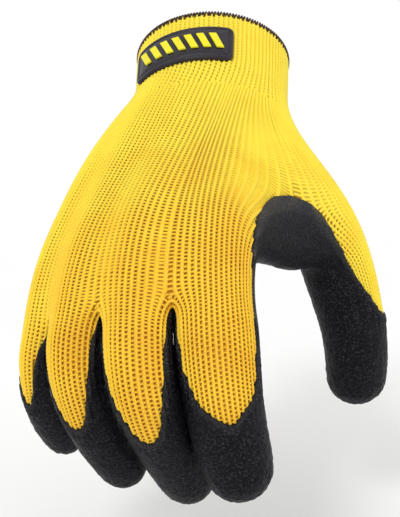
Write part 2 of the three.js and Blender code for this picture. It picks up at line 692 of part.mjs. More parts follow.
/** The hand from the wrist to the five holes that the digits start from. */
function makeHand() {
  const shell = new Shell();
  const outerOf = new Map();
  const outer = (id) => {
    if (!outerOf.has(id)) outerOf.set(id, shell.add(points[id].clone()));
    return outerOf.get(id);
  };
  const way = ringWay(wristRing);
  const outerStart = startRow(wristRing.map((id) => points[id]), way);
  const innerStart = startRow(wristRing.map(innerTrunk), way);
  const start = outerStart.map((point) => shell.add(point));
  const innerRow = innerStart.map((point) => shell.add(point));
  shell.strip(start, innerRow, true, true);
  shell.strip(start, heelRings[0].map(outer), true, false);
  for (let r = 0; r + 1 < heelRings.length; r += 1) {
    shell.strip(heelRings[r].map(outer), heelRings[r + 1].map(outer), true, false);
  }
  for (let r = 0; r + 1 < palmRings.length; r += 1) {
    shell.strip(palmRings[r].map(outer), palmRings[r + 1].map(outer), true, false);
  }
  const holes = digitSkins.map(({ rings }) => {
    const inner = insideRing(rings[0]).map((point) => shell.add(point));
    shell.strip(rings[0].map(outer), inner, true, false);
    return inner;
  });
  let inner = innerRow;
  heelRings.slice(0, -1).forEach((ring) => {
    const next = ring.map((id) => shell.add(innerTrunk(id)));
    shell.strip(inner, next, true, true);
    inner = next;
  });
  const palmStart = insideRing(palmRings[0]).map((point) => shell.add(point));
  const thumbHole = holes[holes.length - 1];
  const overWeb = thumbHole.slice(BACK, BACK + SIDE + 1);
  shell.strip(inner.slice(0, WEB_SIDE + 1), palmStart.slice(0, WEB_SIDE + 1), false, true);
  shell.strip([...inner.slice(WEB_SIDE), inner[0]],
    [...thumbHole.slice(BACK + SIDE), ...thumbHole.slice(0, BACK + 1)], false, true);
  joinWalls(shell, inner[WEB_SIDE], inner[0], [...palmStart.slice(WEB_SIDE), palmStart[0]],
    overWeb.reverse());
  inner = palmStart;
  palmRings.slice(1, -1).forEach((ring) => {
    const next = ring.map((id) => shell.add(innerTrunk(id)));
    shell.strip(inner, next, true, true);
    inner = next;
  });
  const outerSide = (hole) => hole.slice(BACK, BACK + SIDE + 1);
  const innerSide = (hole) => [...hole.slice(2 * BACK + SIDE), hole[0]];
  fingers.forEach((_, f) => {
    const hole = holes[f];
    shell.strip(backOf(inner, f), hole.slice(0, BACK + 1), false, true);
    shell.strip(underOf(inner, f), hole.slice(BACK + SIDE, 2 * BACK + SIDE + 1), false, true);
    if (f + 1 === fingers.length) return;
    joinWalls(shell, backOf(inner, f)[BACK], underOf(inner, f)[0], outerSide(hole),
      innerSide(holes[f + 1]).reverse());
  });
  shell.strip(inner.slice(LITTLE_SIDE, PALM_SIDE + 1), outerSide(holes[fingers.length - 1]), false, true);
  shell.strip([...inner.slice(WEB_SIDE), inner[0]], innerSide(holes[0]), false, true);
  return shell.mesh('hand_body', knitFinish);
}

/** Closes the inside where one hollow parts in two: the edge of the wall between the two hollows. */
function joinWalls(shell, from, to, first, second) {
  shell.face(from, first[0], second[0]);
  for (let i = 0; i + 1 < first.length; i += 1) {
    shell.face(first[i], first[i + 1], second[i + 1], second[i]);
  }
  shell.face(to, second[second.length - 1], first[first.length - 1]);
}

/** A digit: a knitted tube with a rounded closed end, walled towards its middle line. */
function makeDigit({ digit, rings, cap }) {
  const shell = new Shell();
  const rows = rings.map((ring) => ring.map((id) => points[id]));
  const middles = rings.map(ringMiddle);
  const tipMiddle = middles[middles.length - 1 - domeAngles.length];
  middles.fill(tipMiddle, middles.length - domeAngles.length);
  const innerRows = rows.map((row, r) => row.map((point) => inset(point, middles[r])));
  innerRows[0] = insideRing(rings[0]);
  const way = ringWay(rings[0]);
  const slimmer = (point) => point.clone().lerp(middles[0], pieceGap / 2 / point.distanceTo(middles[0]));
  rows[0] = startRow(rows[0].map(slimmer), way);
  innerRows[0] = startRow(innerRows[0], way);
  const outer = rows.map((row) => row.map((point) => shell.add(point.clone())));
  const inner = innerRows.map((row) => row.map((point) => shell.add(point)));
  shell.strip(outer[0], inner[0], true, true);
  for (let r = 0; r + 1 < rows.length; r += 1) {
    shell.strip(outer[r], outer[r + 1], true, false);
    shell.strip(inner[r], inner[r + 1], true, true);
  }
  const rim = rings[rings.length - 1];
  const outerOf = new Map(rim.map((id, k) => [id, outer[outer.length - 1][k]]));
  const innerOf = new Map(rim.map((id, k) => [id, inner[inner.length - 1][k]]));
  cap.flat().forEach((id) => {
    if (outerOf.has(id)) return;
    outerOf.set(id, shell.add(points[id].clone()));
    innerOf.set(id, shell.add(inset(points[id], tipMiddle)));
  });
  cap.forEach((face) => {
    shell.face(...face.map((id) => outerOf.get(id)));
    shell.face(...face.map((id) => innerOf.get(id)).reverse());
  });
  return shell.mesh(digit.name, knitFinish);
}

/** The dipped film: the part of the skin inside the film's edge, with its own inside and rim. */
function makeFilm() {
  const shell = new Shell();
  const made = new Map();
  const layer = (id, out) => points[id].clone().addScaledVector(skinNormals[id], out * filmLift[id]);
  const lift = [layerGap, layerGap + filmWall];
  const cornerOf = (id) => {
    if (!made.has(id)) made.set(id, lift.map((out) => shell.add(layer(id, out))));
    return made.get(id);
  };
  const crossing = (a, b) => {
    const [low, high] = a < b ? [a, b] : [b, a];
    const key = `${low} ${high}`;
    if (!made.has(key)) {
      const share = film[low] / (film[low] - film[high]);
      made.set(key, lift.map((out) => shell.add(layer(low, out).lerp(layer(high, out), share))));
    }
    return made.get(key);
  };
  [...handFaces, ...digitFaces.flat()].forEach(([a, b, c, d]) => {
    [[a, b, c], [a, c, d]].forEach((face) => {
      const loop = [];
      const rim = [];
      face.forEach((id, i) => {
        const next = face[(i + 1) % 3];
        if (film[id] > 0) loop.push(cornerOf(id));
        if (film[id] > 0 !== film[next] > 0) {
          loop.push(crossing(id, next));
          rim.push({ corner: loop[loop.length - 1], leaving: film[id] > 0 });
        }
      });
      if (loop.length < 3) return;
      shell.face(...loop.map((pair) => pair[1]));
      shell.face(...loop.map((pair) => pair[0]).reverse());
      if (rim.length === 2) {
        const [out, back] = rim[0].leaving ? rim : [rim[1], rim[0]];
        shell.face(out.corner[0], back.corner[0], back.corner[1], out.corner[1]);
      }
    });
  });
  return shell.mesh('latex_coat', latexFinish);
}

/** A point on the outside of the cuff: an angle from the back, a way from the hem and a height. */
function cuffPoint(angle, along, height) {
  const share = along / cuffLength;
  const middle = cuffWay.clone().multiplyScalar(along);
  const half = [mix(hemWidth, wristWidth, share) / 2, mix(hemDepth, wristDepth, share) / 2];
  const [x, y] = [half[0] * Math.sin(angle), half[1] * Math.cos(angle)];
  const out = across.clone().multiplyScalar(x / half[0] ** 2).addScaledVector(rise, y / half[1] ** 2);
  middle.addScaledVector(across, x).addScaledVector(rise, y);
  return middle.addScaledVector(out.normalize(), height);
}

/** The overlocked hem: a thread rim round the cuff's open end, over its edge. */
function makeHem() {
  const shell = new Shell();
  const rows = hemSection.map(([along, height]) => Array.from({ length: TRUNK }, (_, i) =>
    shell.add(cuffPoint(ovalAngle(i), along, height))));
  rows.forEach((row, k) => shell.strip(row, rows[(k + 1) % rows.length], true, false));
  return shell.mesh('hem_overlock', threadFinish);
}

/** The angle round the cuff at an arc length from another angle, with the oval's own curvature. */
function angleAt(start, arc) {
  let angle = start;
  for (let k = 0; k < arcSteps; k += 1) {
    const speed = Math.hypot((hemWidth / 2) * Math.cos(angle), (hemDepth / 2) * Math.sin(angle));
    angle += arc / arcSteps / speed;
  }
  return angle;
}

/** A moulded piece that follows the cuff: rows of a flat outline, lifted off the cuff and bevelled. */
function makePatch(name, finish, rows, low, high, bevel) {
  const shell = new Shell();
  const inwards = (k, count) => Number(k === 0) - Number(k === count - 1);
  const lay = (height, shrink) => rows.map((row, r) => row.map(([arc, along], c) => {
    const angle = angleAt(rad(badgeTurn), arc + inwards(c, row.length) * shrink);
    return shell.add(cuffPoint(angle, badgeMiddle + along + inwards(r, rows.length) * shrink, height));
  }));
  const under = lay(low, 0);
  const edge = lay(high - bevel, 0);
  const top = lay(high, bevel);
  const last = rows.length - 1;
  for (let r = 0; r < last; r += 1) {
    shell.strip(top[r], top[r + 1], false, true);
    shell.strip(under[r], under[r + 1], false, false);
  }
  const loop = (layer) => [...layer[0], ...layer.slice(1, last).map((row) => row[row.length - 1]),
    ...[...layer[last]].reverse(), ...layer.slice(1, last).reverse().map((row) => row[0])];
  shell.strip(loop(under), loop(edge), true, true);
  shell.strip(loop(edge), loop(top), true, true);
  return shell.mesh(name, finish);
}

/** The badge's outline as rows across it, each shorter near the rounded corners. */
function badgeRows() {
  const drop = badgeCorner * (1 - Math.SQRT1_2);
  const steps = [[0, badgeCorner], [drop, drop], [badgeCorner, 0]];
  const half = badgeHeight / 2;
  const near = steps.map(([y, x]) => [-half + y, x]);
  const far = steps.map(([y, x]) => [half - y, x]).reverse();
  return [...near, [0, 0], ...far].map(([y, x]) => Array.from({ length: badgeColumns + 1 }, (_, c) =>
    [mix(-badgeLength / 2 + x, badgeLength / 2 - x, c / badgeColumns), y]));
}

const glove = new THREE.Group();
glove.add(makeCuff(), makeHand(), ...digitSkins.map(makeDigit), makeFilm(), makeHem());
const badgeTop = pieceGap + badgeThickness;
glove.add(makePatch('wrist_badge', rubberFinish, badgeRows(), pieceGap, badgeTop, badgeBevel));
for (let k = 0; k < barCount; k += 1) {
  const middle = (k - (barCount - 1) / 2) * barPitch;
  const rows = [-0.5, 0.5].map((side) => [-0.5, 0.5].map((end) =>
    [middle + end * barWidth + side * barSlant, side * barHeight]));
  const [low, high] = [badgeTop + pieceGap, badgeTop + pieceGap + barThickness];
  glove.add(makePatch(`badge_bar_${k + 1}`, barFinish, rows, low, high, barBevel));
}
export default glove;
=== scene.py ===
"""Looks of a knitted work glove with a dipped palm: yarn, film, overlocked hem and moulded badge."""
import json
import logging
import math
from dataclasses import dataclass, field
from enum import Enum
from functools import cached_property
from typing import Iterable, Sequence

import bpy
import numpy as np
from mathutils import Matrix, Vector, noise

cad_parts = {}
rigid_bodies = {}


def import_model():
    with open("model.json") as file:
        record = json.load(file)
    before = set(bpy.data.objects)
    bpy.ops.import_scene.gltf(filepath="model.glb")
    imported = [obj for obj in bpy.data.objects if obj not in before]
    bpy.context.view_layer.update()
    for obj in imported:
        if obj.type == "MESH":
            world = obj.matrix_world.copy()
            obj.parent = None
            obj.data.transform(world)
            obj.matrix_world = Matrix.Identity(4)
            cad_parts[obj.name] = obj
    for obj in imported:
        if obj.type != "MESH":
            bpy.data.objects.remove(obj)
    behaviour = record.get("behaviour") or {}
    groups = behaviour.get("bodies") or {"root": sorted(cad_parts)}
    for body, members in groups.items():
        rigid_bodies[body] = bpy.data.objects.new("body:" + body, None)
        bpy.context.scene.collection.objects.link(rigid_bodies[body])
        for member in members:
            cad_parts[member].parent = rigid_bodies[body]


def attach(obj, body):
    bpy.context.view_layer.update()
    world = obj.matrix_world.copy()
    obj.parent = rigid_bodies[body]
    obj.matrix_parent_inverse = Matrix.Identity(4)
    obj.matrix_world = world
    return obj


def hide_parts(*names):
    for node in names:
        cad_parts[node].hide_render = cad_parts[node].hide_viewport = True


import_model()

LOG = logging.getLogger("glove")
MM = 0.001
BODY = "root"
Array = np.ndarray
Value = float | Array
Paint = bpy.types.NodeSocket | tuple | float


class Slot(Enum):
    """Names of the part's material slots."""

    KNIT = "knit"
    LATEX = "latex"
    HEM_THREAD = "hem_thread"
    BADGE_RUBBER = "badge_rubber"


class Face(Enum):
    """The two broad faces of the hand."""

    BACK = 1
    PALM = -1


def rad(degrees: float) -> float:
    """Degrees as radians."""
    return math.radians(degrees)


def mix(a: Value, b: Value, share: Value) -> Value:
    """The value at a share of the way from a to b."""
    return a + (b - a) * share


def ease(x: Value, low: float, high: float) -> Array:
    """Smooth step from 0 at low to 1 at high."""
    t = np.clip((np.asarray(x, float) - low) / (high - low), 0, 1)
    return t * t * (3 - 2 * t)


def unit(v: Array) -> Array:
    """The direction of a vector, or of each row of an array of them."""
    return v / np.maximum(np.linalg.norm(v, axis=-1, keepdims=True), 1e-9)


def vec(x: float, y: float, z: float) -> Array:
    """A point or a direction."""
    return np.array([x, y, z], float)


def heading(lean: float, drop: float) -> Array:
    """Unit direction that leans to +X and drops below level, in degrees, and else runs to -Y."""
    level = math.cos(rad(lean))
    return vec(math.sin(rad(lean)), -level * math.cos(rad(drop)), -level * math.sin(rad(drop)))


@dataclass(frozen=True)
class Digit:
    """Where a digit stands, in the terms that the part's solids are built from.

    Lean and drop are degrees for each bone, bones are shares of the digit length, root and saddles
    are places on the wrist and the palm that its line passes.
    """

    name: str
    wide: float
    bones: tuple[float, ...]
    lean: tuple[float, ...]
    drop: tuple[float, ...]
    turn: float
    root: tuple[float, float]
    place: tuple[float, float, float]
    saddles: tuple[tuple[float, float, float], ...] = ()


FINGERS = (
    Digit("index_finger", 1.0, (0.495, 0.28, 0.24), (1, 9, 16), (50, 89, 93), 2, (0.24, 0.1),
          (0, 0, 0)),
    Digit("middle_finger", 0.86, (0.55, 0.33, 0.29), (2, 16, 22), (50, 113, 119), -22, (0.05, 0.12),
          (-1, 0.02, -0.06)),
    Digit("ring_finger", 0.78, (0.49, 0.29, 0.27), (-2, 15, 26), (45, 104, 116), -38, (-0.2, 0.1),
          (-0.8, -0.36, -0.48)),
    Digit("little_finger", 0.69, (0.39, 0.22, 0.22), (-2, 3, 18), (48, 104, 121), -48, (-0.4, 0),
          (-0.7, -0.42, -0.72), ((-0.5, 0.45, -0.16),)),
)
THUMB = Digit("thumb", 1.0, (0.57, 0.43), (16, 2), (83, 97), 88, (0.42, -0.1),
              (0.53, 0.5, -0.43), ((0.42, 0.2, -0.16),))

BACK = 5
SIDE = 3
RING = 2 * (BACK + SIDE)
LITTLE_SIDE = 4 * BACK
PALM_SIDE = LITTLE_SIDE + SIDE
WEB_SIDE = PALM_SIDE + 4 * BACK
THUMB_SIDE = WEB_SIDE + BACK
THUMB_BACK = THUMB_SIDE + SIDE
TRUNK = THUMB_BACK + BACK
CORNER = math.pi * BACK / RING
COLUMN_DEGREES = 360 / RING


class BentLine:
    """A line through corners that are rounded by quadratic arcs, read by its arc length."""

    REACH = 0.46
    STEPS = 40

    def __init__(self, corners: Sequence[Array]) -> None:
        """Lays the line.

        Args:
            corners: The points that the line turns at.
        """
        points = [corners[0]]
        for p, q, r in zip(corners, corners[1:], corners[2:]):
            back, on = np.linalg.norm(p - q), np.linalg.norm(r - q)
            reach = self.REACH * min(back, on)
            start, end = mix(q, p, reach / back), mix(q, r, reach / on)
            t = np.linspace(0, 1, self.STEPS)[:, None]
            points.extend((1 - t) ** 2 * start + 2 * t * (1 - t) * q + t * t * end)
        points.append(corners[-1])
        self.points = np.array(points)
        steps = np.linalg.norm(np.diff(self.points, axis=0), axis=1)
        self.arc = np.concatenate([[0.0], np.cumsum(steps)])
        self.length = float(self.arc[-1])

    def at(self, s: float) -> Array:
        """The point at an arc length."""
        return np.array([np.interp(s, self.arc, self.points[:, k]) for k in range(3)])

    def way(self, s: float) -> Array:
        """The direction at an arc length."""
        low, high = max(s - 0.05, 0.0), min(s + 0.05, self.length)
        return unit(self.at(high) - self.at(low))


@dataclass
class Section:
    """A cross-section of a digit: its middle, directions, and half sizes to side, back and palm."""

    middle: Array
    way: Array
    side: Array
    back: Array
    half: tuple[float, float, float] = (0, 0, 0)

    def ring_point(self, angle: float, size: float = 1, forward: float = 0) -> Array:
        """A point round the section, from its back towards its side, scaled and moved forward."""
        point = self.middle + self.side * self.half[0] * size * math.sin(angle)
        return point + self.back * self.half[1] * size * math.cos(angle) + self.way * forward

    def side_point(self, hand: int, share: float) -> Array:
        """A point down the side, from the corner of the back to the corner of the palm side.

        Args:
            hand: 1 for the side that the section's side points to, -1 for the other.
            share: Share of the way down.

        Returns:
            The point.
        """
        angle = CORNER + share * (math.pi - 2 * CORNER)
        depth = self.half[1] if math.cos(angle) > 0 else self.half[2]
        point = self.middle + self.side * hand * self.half[0] * math.sin(angle)
        return point + self.back * depth * math.cos(angle)


@dataclass
class DigitSkin:
    """A digit's rings of control points, the faces over its tip, and where it starts and ends."""

    digit: Digit
    rings: list[list[int]]
    cap: list[list[int]]
    start: float
    tip: float
    length: float


@dataclass
class GloveCage:
    """The control skin of the glove, in millimetres, worked out as the part's solids are.

    Points are numbered, rings hold point numbers, and faces are four-sided, their first edge
    across the glove and their second towards the fingertips.
    """

    BARE_FINGER = ((0, 82, 84), (0.12, 76, 76), (0.27, 68, 68), (0.4, 58, 44), (0.49, 36, 18),
                   (0.55, -12, -12), (1, -60, -60))
    BARE_THUMB = ((0, 100, 42), (0.06, 90, 58), (0.17, 80, 74), (0.3, 60, 62), (0.4, 36, 40),
                  (0.5, -12, -12), (1, -60, -60))
    TONGUES = {"index_finger": (1.1, 1.0), "middle_finger": (0.95, 1.0), "ring_finger": (0.97, 0.95),
               "little_finger": (0.88, 0.45), "thumb": (1.13, 1.0)}
    FILM_COLUMNS = (21.8, 49.3)
    FILM_TO_FINGERS = (46.5, 45.7, 44.9, 44.8)
    FILM_START = 0.13
    FILM_FADE = 0.08
    FILM_AT_WEB = ((3, 0, -9), (4, 0, 14), (4, 1, -3))

    hem: tuple[float, float] = (67, 50.5)
    wrist_size: tuple[float, float] = (65, 47)
    cuff_length: float = 33
    cuff_drop: float = 34
    cuff_lean: float = -2
    back_turn: float = 16
    palm_length: float = 95
    crotch_past: float = 27
    palm_depth: float = 33
    palm_drop: float = 21.5
    palm_breadth: float = 112
    finger_length: float = 99
    finger_size: tuple[float, float] = (27, 24.6)
    finger_space: float = 2.6
    thumb_length: float = 69
    thumb_size: tuple[float, float] = (24, 23.6)
    thumb_crotch: float = 0.6
    thumb_root: float = 0.9
    thumb_pad: float = 1.15
    tip_share: float = 0.85
    knuckle: tuple[float, float, float] = (0, 1, -0.05)
    cuff_rows: tuple[float, ...] = (0, 0.5, 1)
    cuff_end: float = 0.1
    heel_rows: tuple[float, ...] = (0.2, 0.3, 0.4, 0.5, 0.6)
    palm_rows: tuple[float, ...] = (0.71, 0.82, 0.92, 1)
    digit_rows: tuple[float, ...] = (0.07, 0.2, 0.35, 0.51, 0.68, 0.84, 1)
    dome_angles: tuple[float, ...] = (32, 60)
    taper: tuple[tuple[float, float, float], ...] = (
        (0, 1, 1), (0.5, 1, 0.98), (0.75, 0.92, 0.9), (1, 0.8, 0.8))
    thumb_taper: tuple[tuple[float, float, float], ...] = (
        (0, 1.12, 1.34), (0.3, 1.04, 1.14), (0.55, 1, 1.08), (1, 0.9, 0.96))
    lobe_start: float = 0.35
    lobe_flat: float = 0.94
    oval_end: float = 0.55
    pad_end: float = 0.3
    pad_fade: float = 0.6
    web_sink: float = 24
    web_push: float = 10
    web_drop: float = 20
    calm_rounds: int = 5
    calm_trunk: float = 0.6
    calm_palm: float = 0.35
    calm_web: float = 0.3
    calm_finger_root: float = 0.25
    calm_thumb_roots: tuple[float, float] = (0.5, 0.3)
    points: list[Array] = field(default_factory=list)

    def __post_init__(self) -> None:
        """Lays out the directions, the digits, the rings and the faces."""
        self.cuff_way = heading(self.cuff_lean, self.cuff_drop)
        self.across = unit(vec(1, 0, 0) - self.cuff_way * self.cuff_way[0])
        self.rise = unit(np.cross(self.cuff_way, self.across))
        self.wrist = self.cuff_way * self.cuff_length
        self.palm_way = heading(0, self.palm_drop)
        self.palm_rise = unit(np.cross(self.palm_way, vec(1, 0, 0)))
        self.lines: dict[str, BentLine] = {}
        self.to_knuckle: dict[str, float] = {}
        self.half: dict[str, tuple[float, float]] = {}
        self.lay_digits()
        self.lay_rings()
        self.lay_faces()
        self.even_out()
        self.film = self.film_field()

    def palm_point(self, place: Sequence[float]) -> Array:
        """A point by its shares of the palm length across, along and above the palm."""
        x, y, z = (share * self.palm_length for share in place)
        return self.wrist + vec(x, 0, 0) + self.palm_way * y + self.palm_rise * z

    def lay_digits(self) -> None:
        """Lays the centre line of each digit from the wrist."""
        knuckle = self.palm_point(self.knuckle)
        for before, finger in zip((None, *FINGERS), FINGERS):
            if before:
                space = (finger.wide + before.wide) * self.finger_size[0] / 2 + self.finger_space
                x, y, z = finger.place
                way = unit(vec(x, 0, 0) + self.palm_way * y + self.palm_rise * z)
                knuckle = knuckle + way * space
            self.lay_digit(finger, knuckle, self.finger_length, self.finger_size)
        self.lay_digit(THUMB, self.palm_point(THUMB.place), self.thumb_length, self.thumb_size)

    def lay_digit(self, digit: Digit, knuckle: Array, length: float, size: tuple) -> None:
        """Lays one digit's line and keeps its length to the knuckle and its half sizes.

        Args:
            digit: The digit.
            knuckle: Its knuckle.
            length: Length that its bones share.
            size: Width and depth that it takes its own share of.
        """
        root = self.wrist + self.across * digit.root[0] * self.wrist_size[0]
        root = root + self.rise * digit.root[1] * self.wrist_size[1]
        legs = [root, *(self.palm_point(place) for place in digit.saddles), knuckle]
        self.to_knuckle[digit.name] = sum(np.linalg.norm(b - a) for a, b in zip(legs, legs[1:]))
        for share, lean, drop in zip(digit.bones, digit.lean, digit.drop):
            legs.append(legs[-1] + heading(lean, drop) * share * length)
        self.lines[digit.name] = BentLine(legs)
        self.half[digit.name] = (digit.wide * size[0] / 2, digit.wide * size[1] / 2)

    def section(self, digit: Digit, s: float) -> Section:
        """The section of a digit at an arc length from its root.

        Args:
            digit: The digit.
            s: Arc length.

        Returns:
            The section, held to the line's ends.
        """
        line = self.lines[digit.name]
        s = min(max(s, 0.0), line.length)
        way = line.way(s)
        turned = unit(np.cross(way, vec(math.cos(rad(digit.turn)), math.sin(rad(digit.turn)), 0)))
        back = mix(self.rise, turned, float(ease(s, 0, self.to_knuckle[digit.name])))
        back = unit(back - way * back.dot(way))
        wide, deep = self.half_at(digit, s)
        return Section(line.at(s), way, unit(np.cross(back, way)), back, (wide, deep, deep))

    def half_at(self, digit: Digit, s: float) -> tuple[float, float]:
        """Half width and half depth of a digit at an arc length.

        Args:
            digit: The digit.
            s: Arc length from its root.

        Returns:
            The half width and the half depth, in mm.
        """
        start, length = self.to_knuckle[digit.name], self.lines[digit.name].length
        past = min(max((s - start) / (length - start), 0.0), 1.0)
        table = np.array(self.thumb_taper if digit is THUMB else self.taper)
        wide, deep = (np.interp(past, table[:, 0], table[:, k]) for k in (1, 2))
        return self.half[digit.name][0] * wide, self.half[digit.name][1] * deep

    def oval_angle(self, i: int) -> float:
        """The angle of a ring column round the cuff's oval, from its back."""
        return -rad(self.back_turn) + 2 * math.pi * (2 * BACK - i) / TRUNK

    def oval_point(self, middle: Array, half: Sequence[float], i: int) -> Array:
        """A point of the oval section that the cuff and the heel share."""
        angle = self.oval_angle(i)
        return middle + self.across * half[0] * math.sin(angle) + self.rise * half[1] * math.cos(angle)

    def hand_sections(self, share: float) -> list[tuple[Section, float]]:
        """The digit sections that cross the hand at a share of the way to the crotches.

        Args:
            share: Share of the way.

        Returns:
            Each section with how far it is lobed: the four fingers, then the thumb.
        """
        lobe = float(ease(share, self.lobe_start, 1))
        made = []
        for finger in FINGERS:
            cut = self.section(finger, share * (self.to_knuckle[finger.name] + self.crotch_past))
            wide, deep, _ = cut.half
            flat = self.palm_depth - deep
            heel = mix(self.wrist_size[1] / 2, flat, float(ease(share, 0, self.pad_end)))
            pad = mix(heel, deep, float(ease(share, self.pad_fade, 1)))
            cut.half = (wide + mix(self.finger_space / 2, 0, lobe), deep, pad)
            made.append((cut, lobe))
        s = min(share / self.thumb_crotch, 1) * self.to_knuckle["thumb"] * self.thumb_root
        cut = self.section(THUMB, s)
        cut.half = (cut.half[0], cut.half[1], cut.half[1] * self.thumb_pad)
        return [*made, (cut, 1.0)]

    def hand_point(self, cut: Section, lobe: float, angle: float, face: Face) -> Array:
        """A point of a section across the hand, flat on top near the wrist and lobed further on.

        Args:
            cut: The section.
            lobe: How far it is lobed, from 0 to 1.
            angle: Angle from its middle towards its side.
            face: Which face of the hand.

        Returns:
            The point.
        """
        out = mix(angle / CORNER, math.sin(angle), lobe)
        up = mix(self.lobe_flat, math.cos(angle), lobe)
        point = cut.middle + cut.side * cut.half[0] * out
        return point + cut.back * (-cut.half[2] if face is Face.PALM else cut.half[1]) * up

    def trunk_point(self, sections: list, i: int) -> Array:
        """A point of the hand's section at a ring column.

        Args:
            sections: The digit sections that cross the hand there.
            i: The ring column.

        Returns:
            The point.
        """
        step = 2 * CORNER / BACK
        last = len(sections) - 1

        def at(f: int, j: int, face: Face) -> Array:
            """A point on a digit's section, a number of columns from its thumb side."""
            return self.hand_point(*sections[f], CORNER - step * j, face)

        def meet(a: Array, b: Array) -> Array:
            """The point halfway between two neighbours."""
            return (a + b) / 2

        if i == 0:
            return meet(at(0, 0, Face.BACK), at(last, BACK, Face.BACK))
        if i < LITTLE_SIDE:
            f, j = divmod(i, BACK)
            if j:
                return at(f, j, Face.BACK)
            return meet(at(f - 1, BACK, Face.BACK), at(f, 0, Face.BACK))
        if i <= PALM_SIDE:
            return sections[last - 1][0].side_point(-1, (i - LITTLE_SIDE) / SIDE)
        if i < WEB_SIDE:
            f, j = last - 1 - (i - PALM_SIDE) // BACK, BACK - (i - PALM_SIDE) % BACK
            if j < BACK:
                return at(f, j, Face.PALM)
            return meet(at(f + 1, 0, Face.PALM), at(f, BACK, Face.PALM))
        if i == WEB_SIDE:
            return meet(at(0, 0, Face.PALM), at(last, BACK, Face.PALM))
        if i <= THUMB_SIDE:
            return at(last, BACK - (i - WEB_SIDE), Face.PALM)
        if i < THUMB_BACK:
            return sections[last][0].side_point(1, (THUMB_BACK - i) / SIDE)
        return at(last, i - THUMB_BACK, Face.BACK)

    def add(self, point: Array) -> int:
        """Adds a control point and gives its number."""
        self.points.append(point)
        return len(self.points) - 1

    def hand_ring(self, share: float, count: int) -> list[int]:
        """One ring of the hand: the oval of the wrist turning into the sections of the digits.

        Args:
            share: Share of the way from the wrist to the crotches.
            count: Points to make.

        Returns:
            The numbers of its points.
        """
        sections = self.hand_sections(share)
        middles = [np.mean([cut.middle for cut, _ in cuts[:4]], axis=0)
                   for cuts in (sections, self.hand_sections(0))]
        middle = middles[0] - middles[1] + self.wrist
        half = (mix(self.wrist_size[0], self.palm_breadth, share) / 2,
                mix(self.wrist_size[1], self.palm_depth, share) / 2)
        blend = float(ease(share, 0, self.oval_end))
        return [self.add(mix(self.oval_point(middle, half, i), self.trunk_point(sections, i), blend))
                for i in range(count)]

    def web_points(self, start: int, end: int, push: Array) -> list[int]:
        """Two points of the web between two digits."""
        a, b = self.points[start], self.points[end]
        return [self.add(mix(a, b, k / SIDE) + push) for k in (1, 2)]

    def lay_rings(self) -> None:
        """Lays the rings of the cuff, the hand and the digits."""
        self.cuff_rings = []
        for share in self.cuff_rows:
            half = [mix(self.hem[k], self.wrist_size[k], share) / 2 for k in (0, 1)]
            middle = self.cuff_way * self.cuff_length * share
            self.cuff_rings.append([self.add(self.oval_point(middle, half, i)) for i in range(TRUNK)])
        self.cuff_rings.append(self.hand_ring(self.cuff_end, TRUNK))
        self.heel_rings = [self.hand_ring(share, TRUNK) for share in self.heel_rows]
        web = self.heel_rings[-1]
        self.points[web[WEB_SIDE]] = self.points[web[WEB_SIDE]] - vec(0, 0, self.web_sink)
        push = vec(0, -self.web_push, -self.web_drop)
        self.thumb_web = self.web_points(web[0], web[WEB_SIDE], push)
        self.palm_rings = [[*web[:WEB_SIDE + 1], self.thumb_web[1], self.thumb_web[0]]]
        for share in self.palm_rows:
            ring = self.hand_ring(share, WEB_SIDE + 1)
            index, lobe = self.hand_sections(share)[0]
            self.points[ring[0]] = self.hand_point(index, lobe, CORNER, Face.BACK)
            self.points[ring[WEB_SIDE]] = self.hand_point(index, lobe, CORNER, Face.PALM)
            ring += [self.add(index.side_point(1, 2 / SIDE)), self.add(index.side_point(1, 1 / SIDE))]
            self.palm_rings.append(ring)
        last = self.palm_rings[-1]
        self.webs = [self.web_points(last[BACK * f], last[WEB_SIDE - BACK * f], vec(0, 0, 0))
                     for f in (1, 2, 3)]
        thumb_ring = [*web[THUMB_BACK:], web[0], *self.thumb_web, *web[WEB_SIDE:THUMB_BACK]]
        roots = [*(self.root_ring(f) for f in range(4)), thumb_ring]
        self.digits = [self.digit_skin(d, root) for d, root in zip((*FINGERS, THUMB), roots)]

    def root_ring(self, f: int) -> list[int]:
        """The first ring of a finger: back, outer side, under, and thumb side.

        Args:
            f: The finger, counted from the index finger.

        Returns:
            The numbers of its points.
        """
        last = self.palm_rings[-1]
        back = last[BACK * f:BACK * (f + 1) + 1]
        under = last[WEB_SIDE - BACK * (f + 1):WEB_SIDE - BACK * f + 1]
        outer = self.webs[f] if f < 3 else last[LITTLE_SIDE + 1:PALM_SIDE]
        inner = self.webs[f - 1][::-1] if f else last[WEB_SIDE + 1:]
        return [*back, *outer, *under, *inner]

    def digit_skin(self, digit: Digit, root: list[int]) -> DigitSkin:
        """The rings of a digit and the grid of faces that rounds its tip.

        Args:
            digit: The digit.
            root: Its first ring.

        Returns:
            The digit's rings, faces and lengths.
        """
        to_knuckle, length = self.to_knuckle[digit.name], self.lines[digit.name].length
        start = to_knuckle * self.thumb_root if digit is THUMB else to_knuckle + self.crotch_past
        height = self.tip_share * self.half[digit.name][0]
        tip = length - height
        angles = [CORNER - 2 * math.pi * k / RING for k in range(RING)]
        rings = [root]
        for share in self.digit_rows:
            cut = self.section(digit, mix(start, tip, share))
            rings.append([self.add(cut.ring_point(angle)) for angle in angles])
        end = self.section(digit, tip)
        for dome in map(rad, self.dome_angles):
            rings.append([self.add(end.ring_point(angle, math.cos(dome), height * math.sin(dome)))
                          for angle in angles])
        return DigitSkin(digit, rings, self.cap_faces(rings[-1], end, height), start, tip, length)

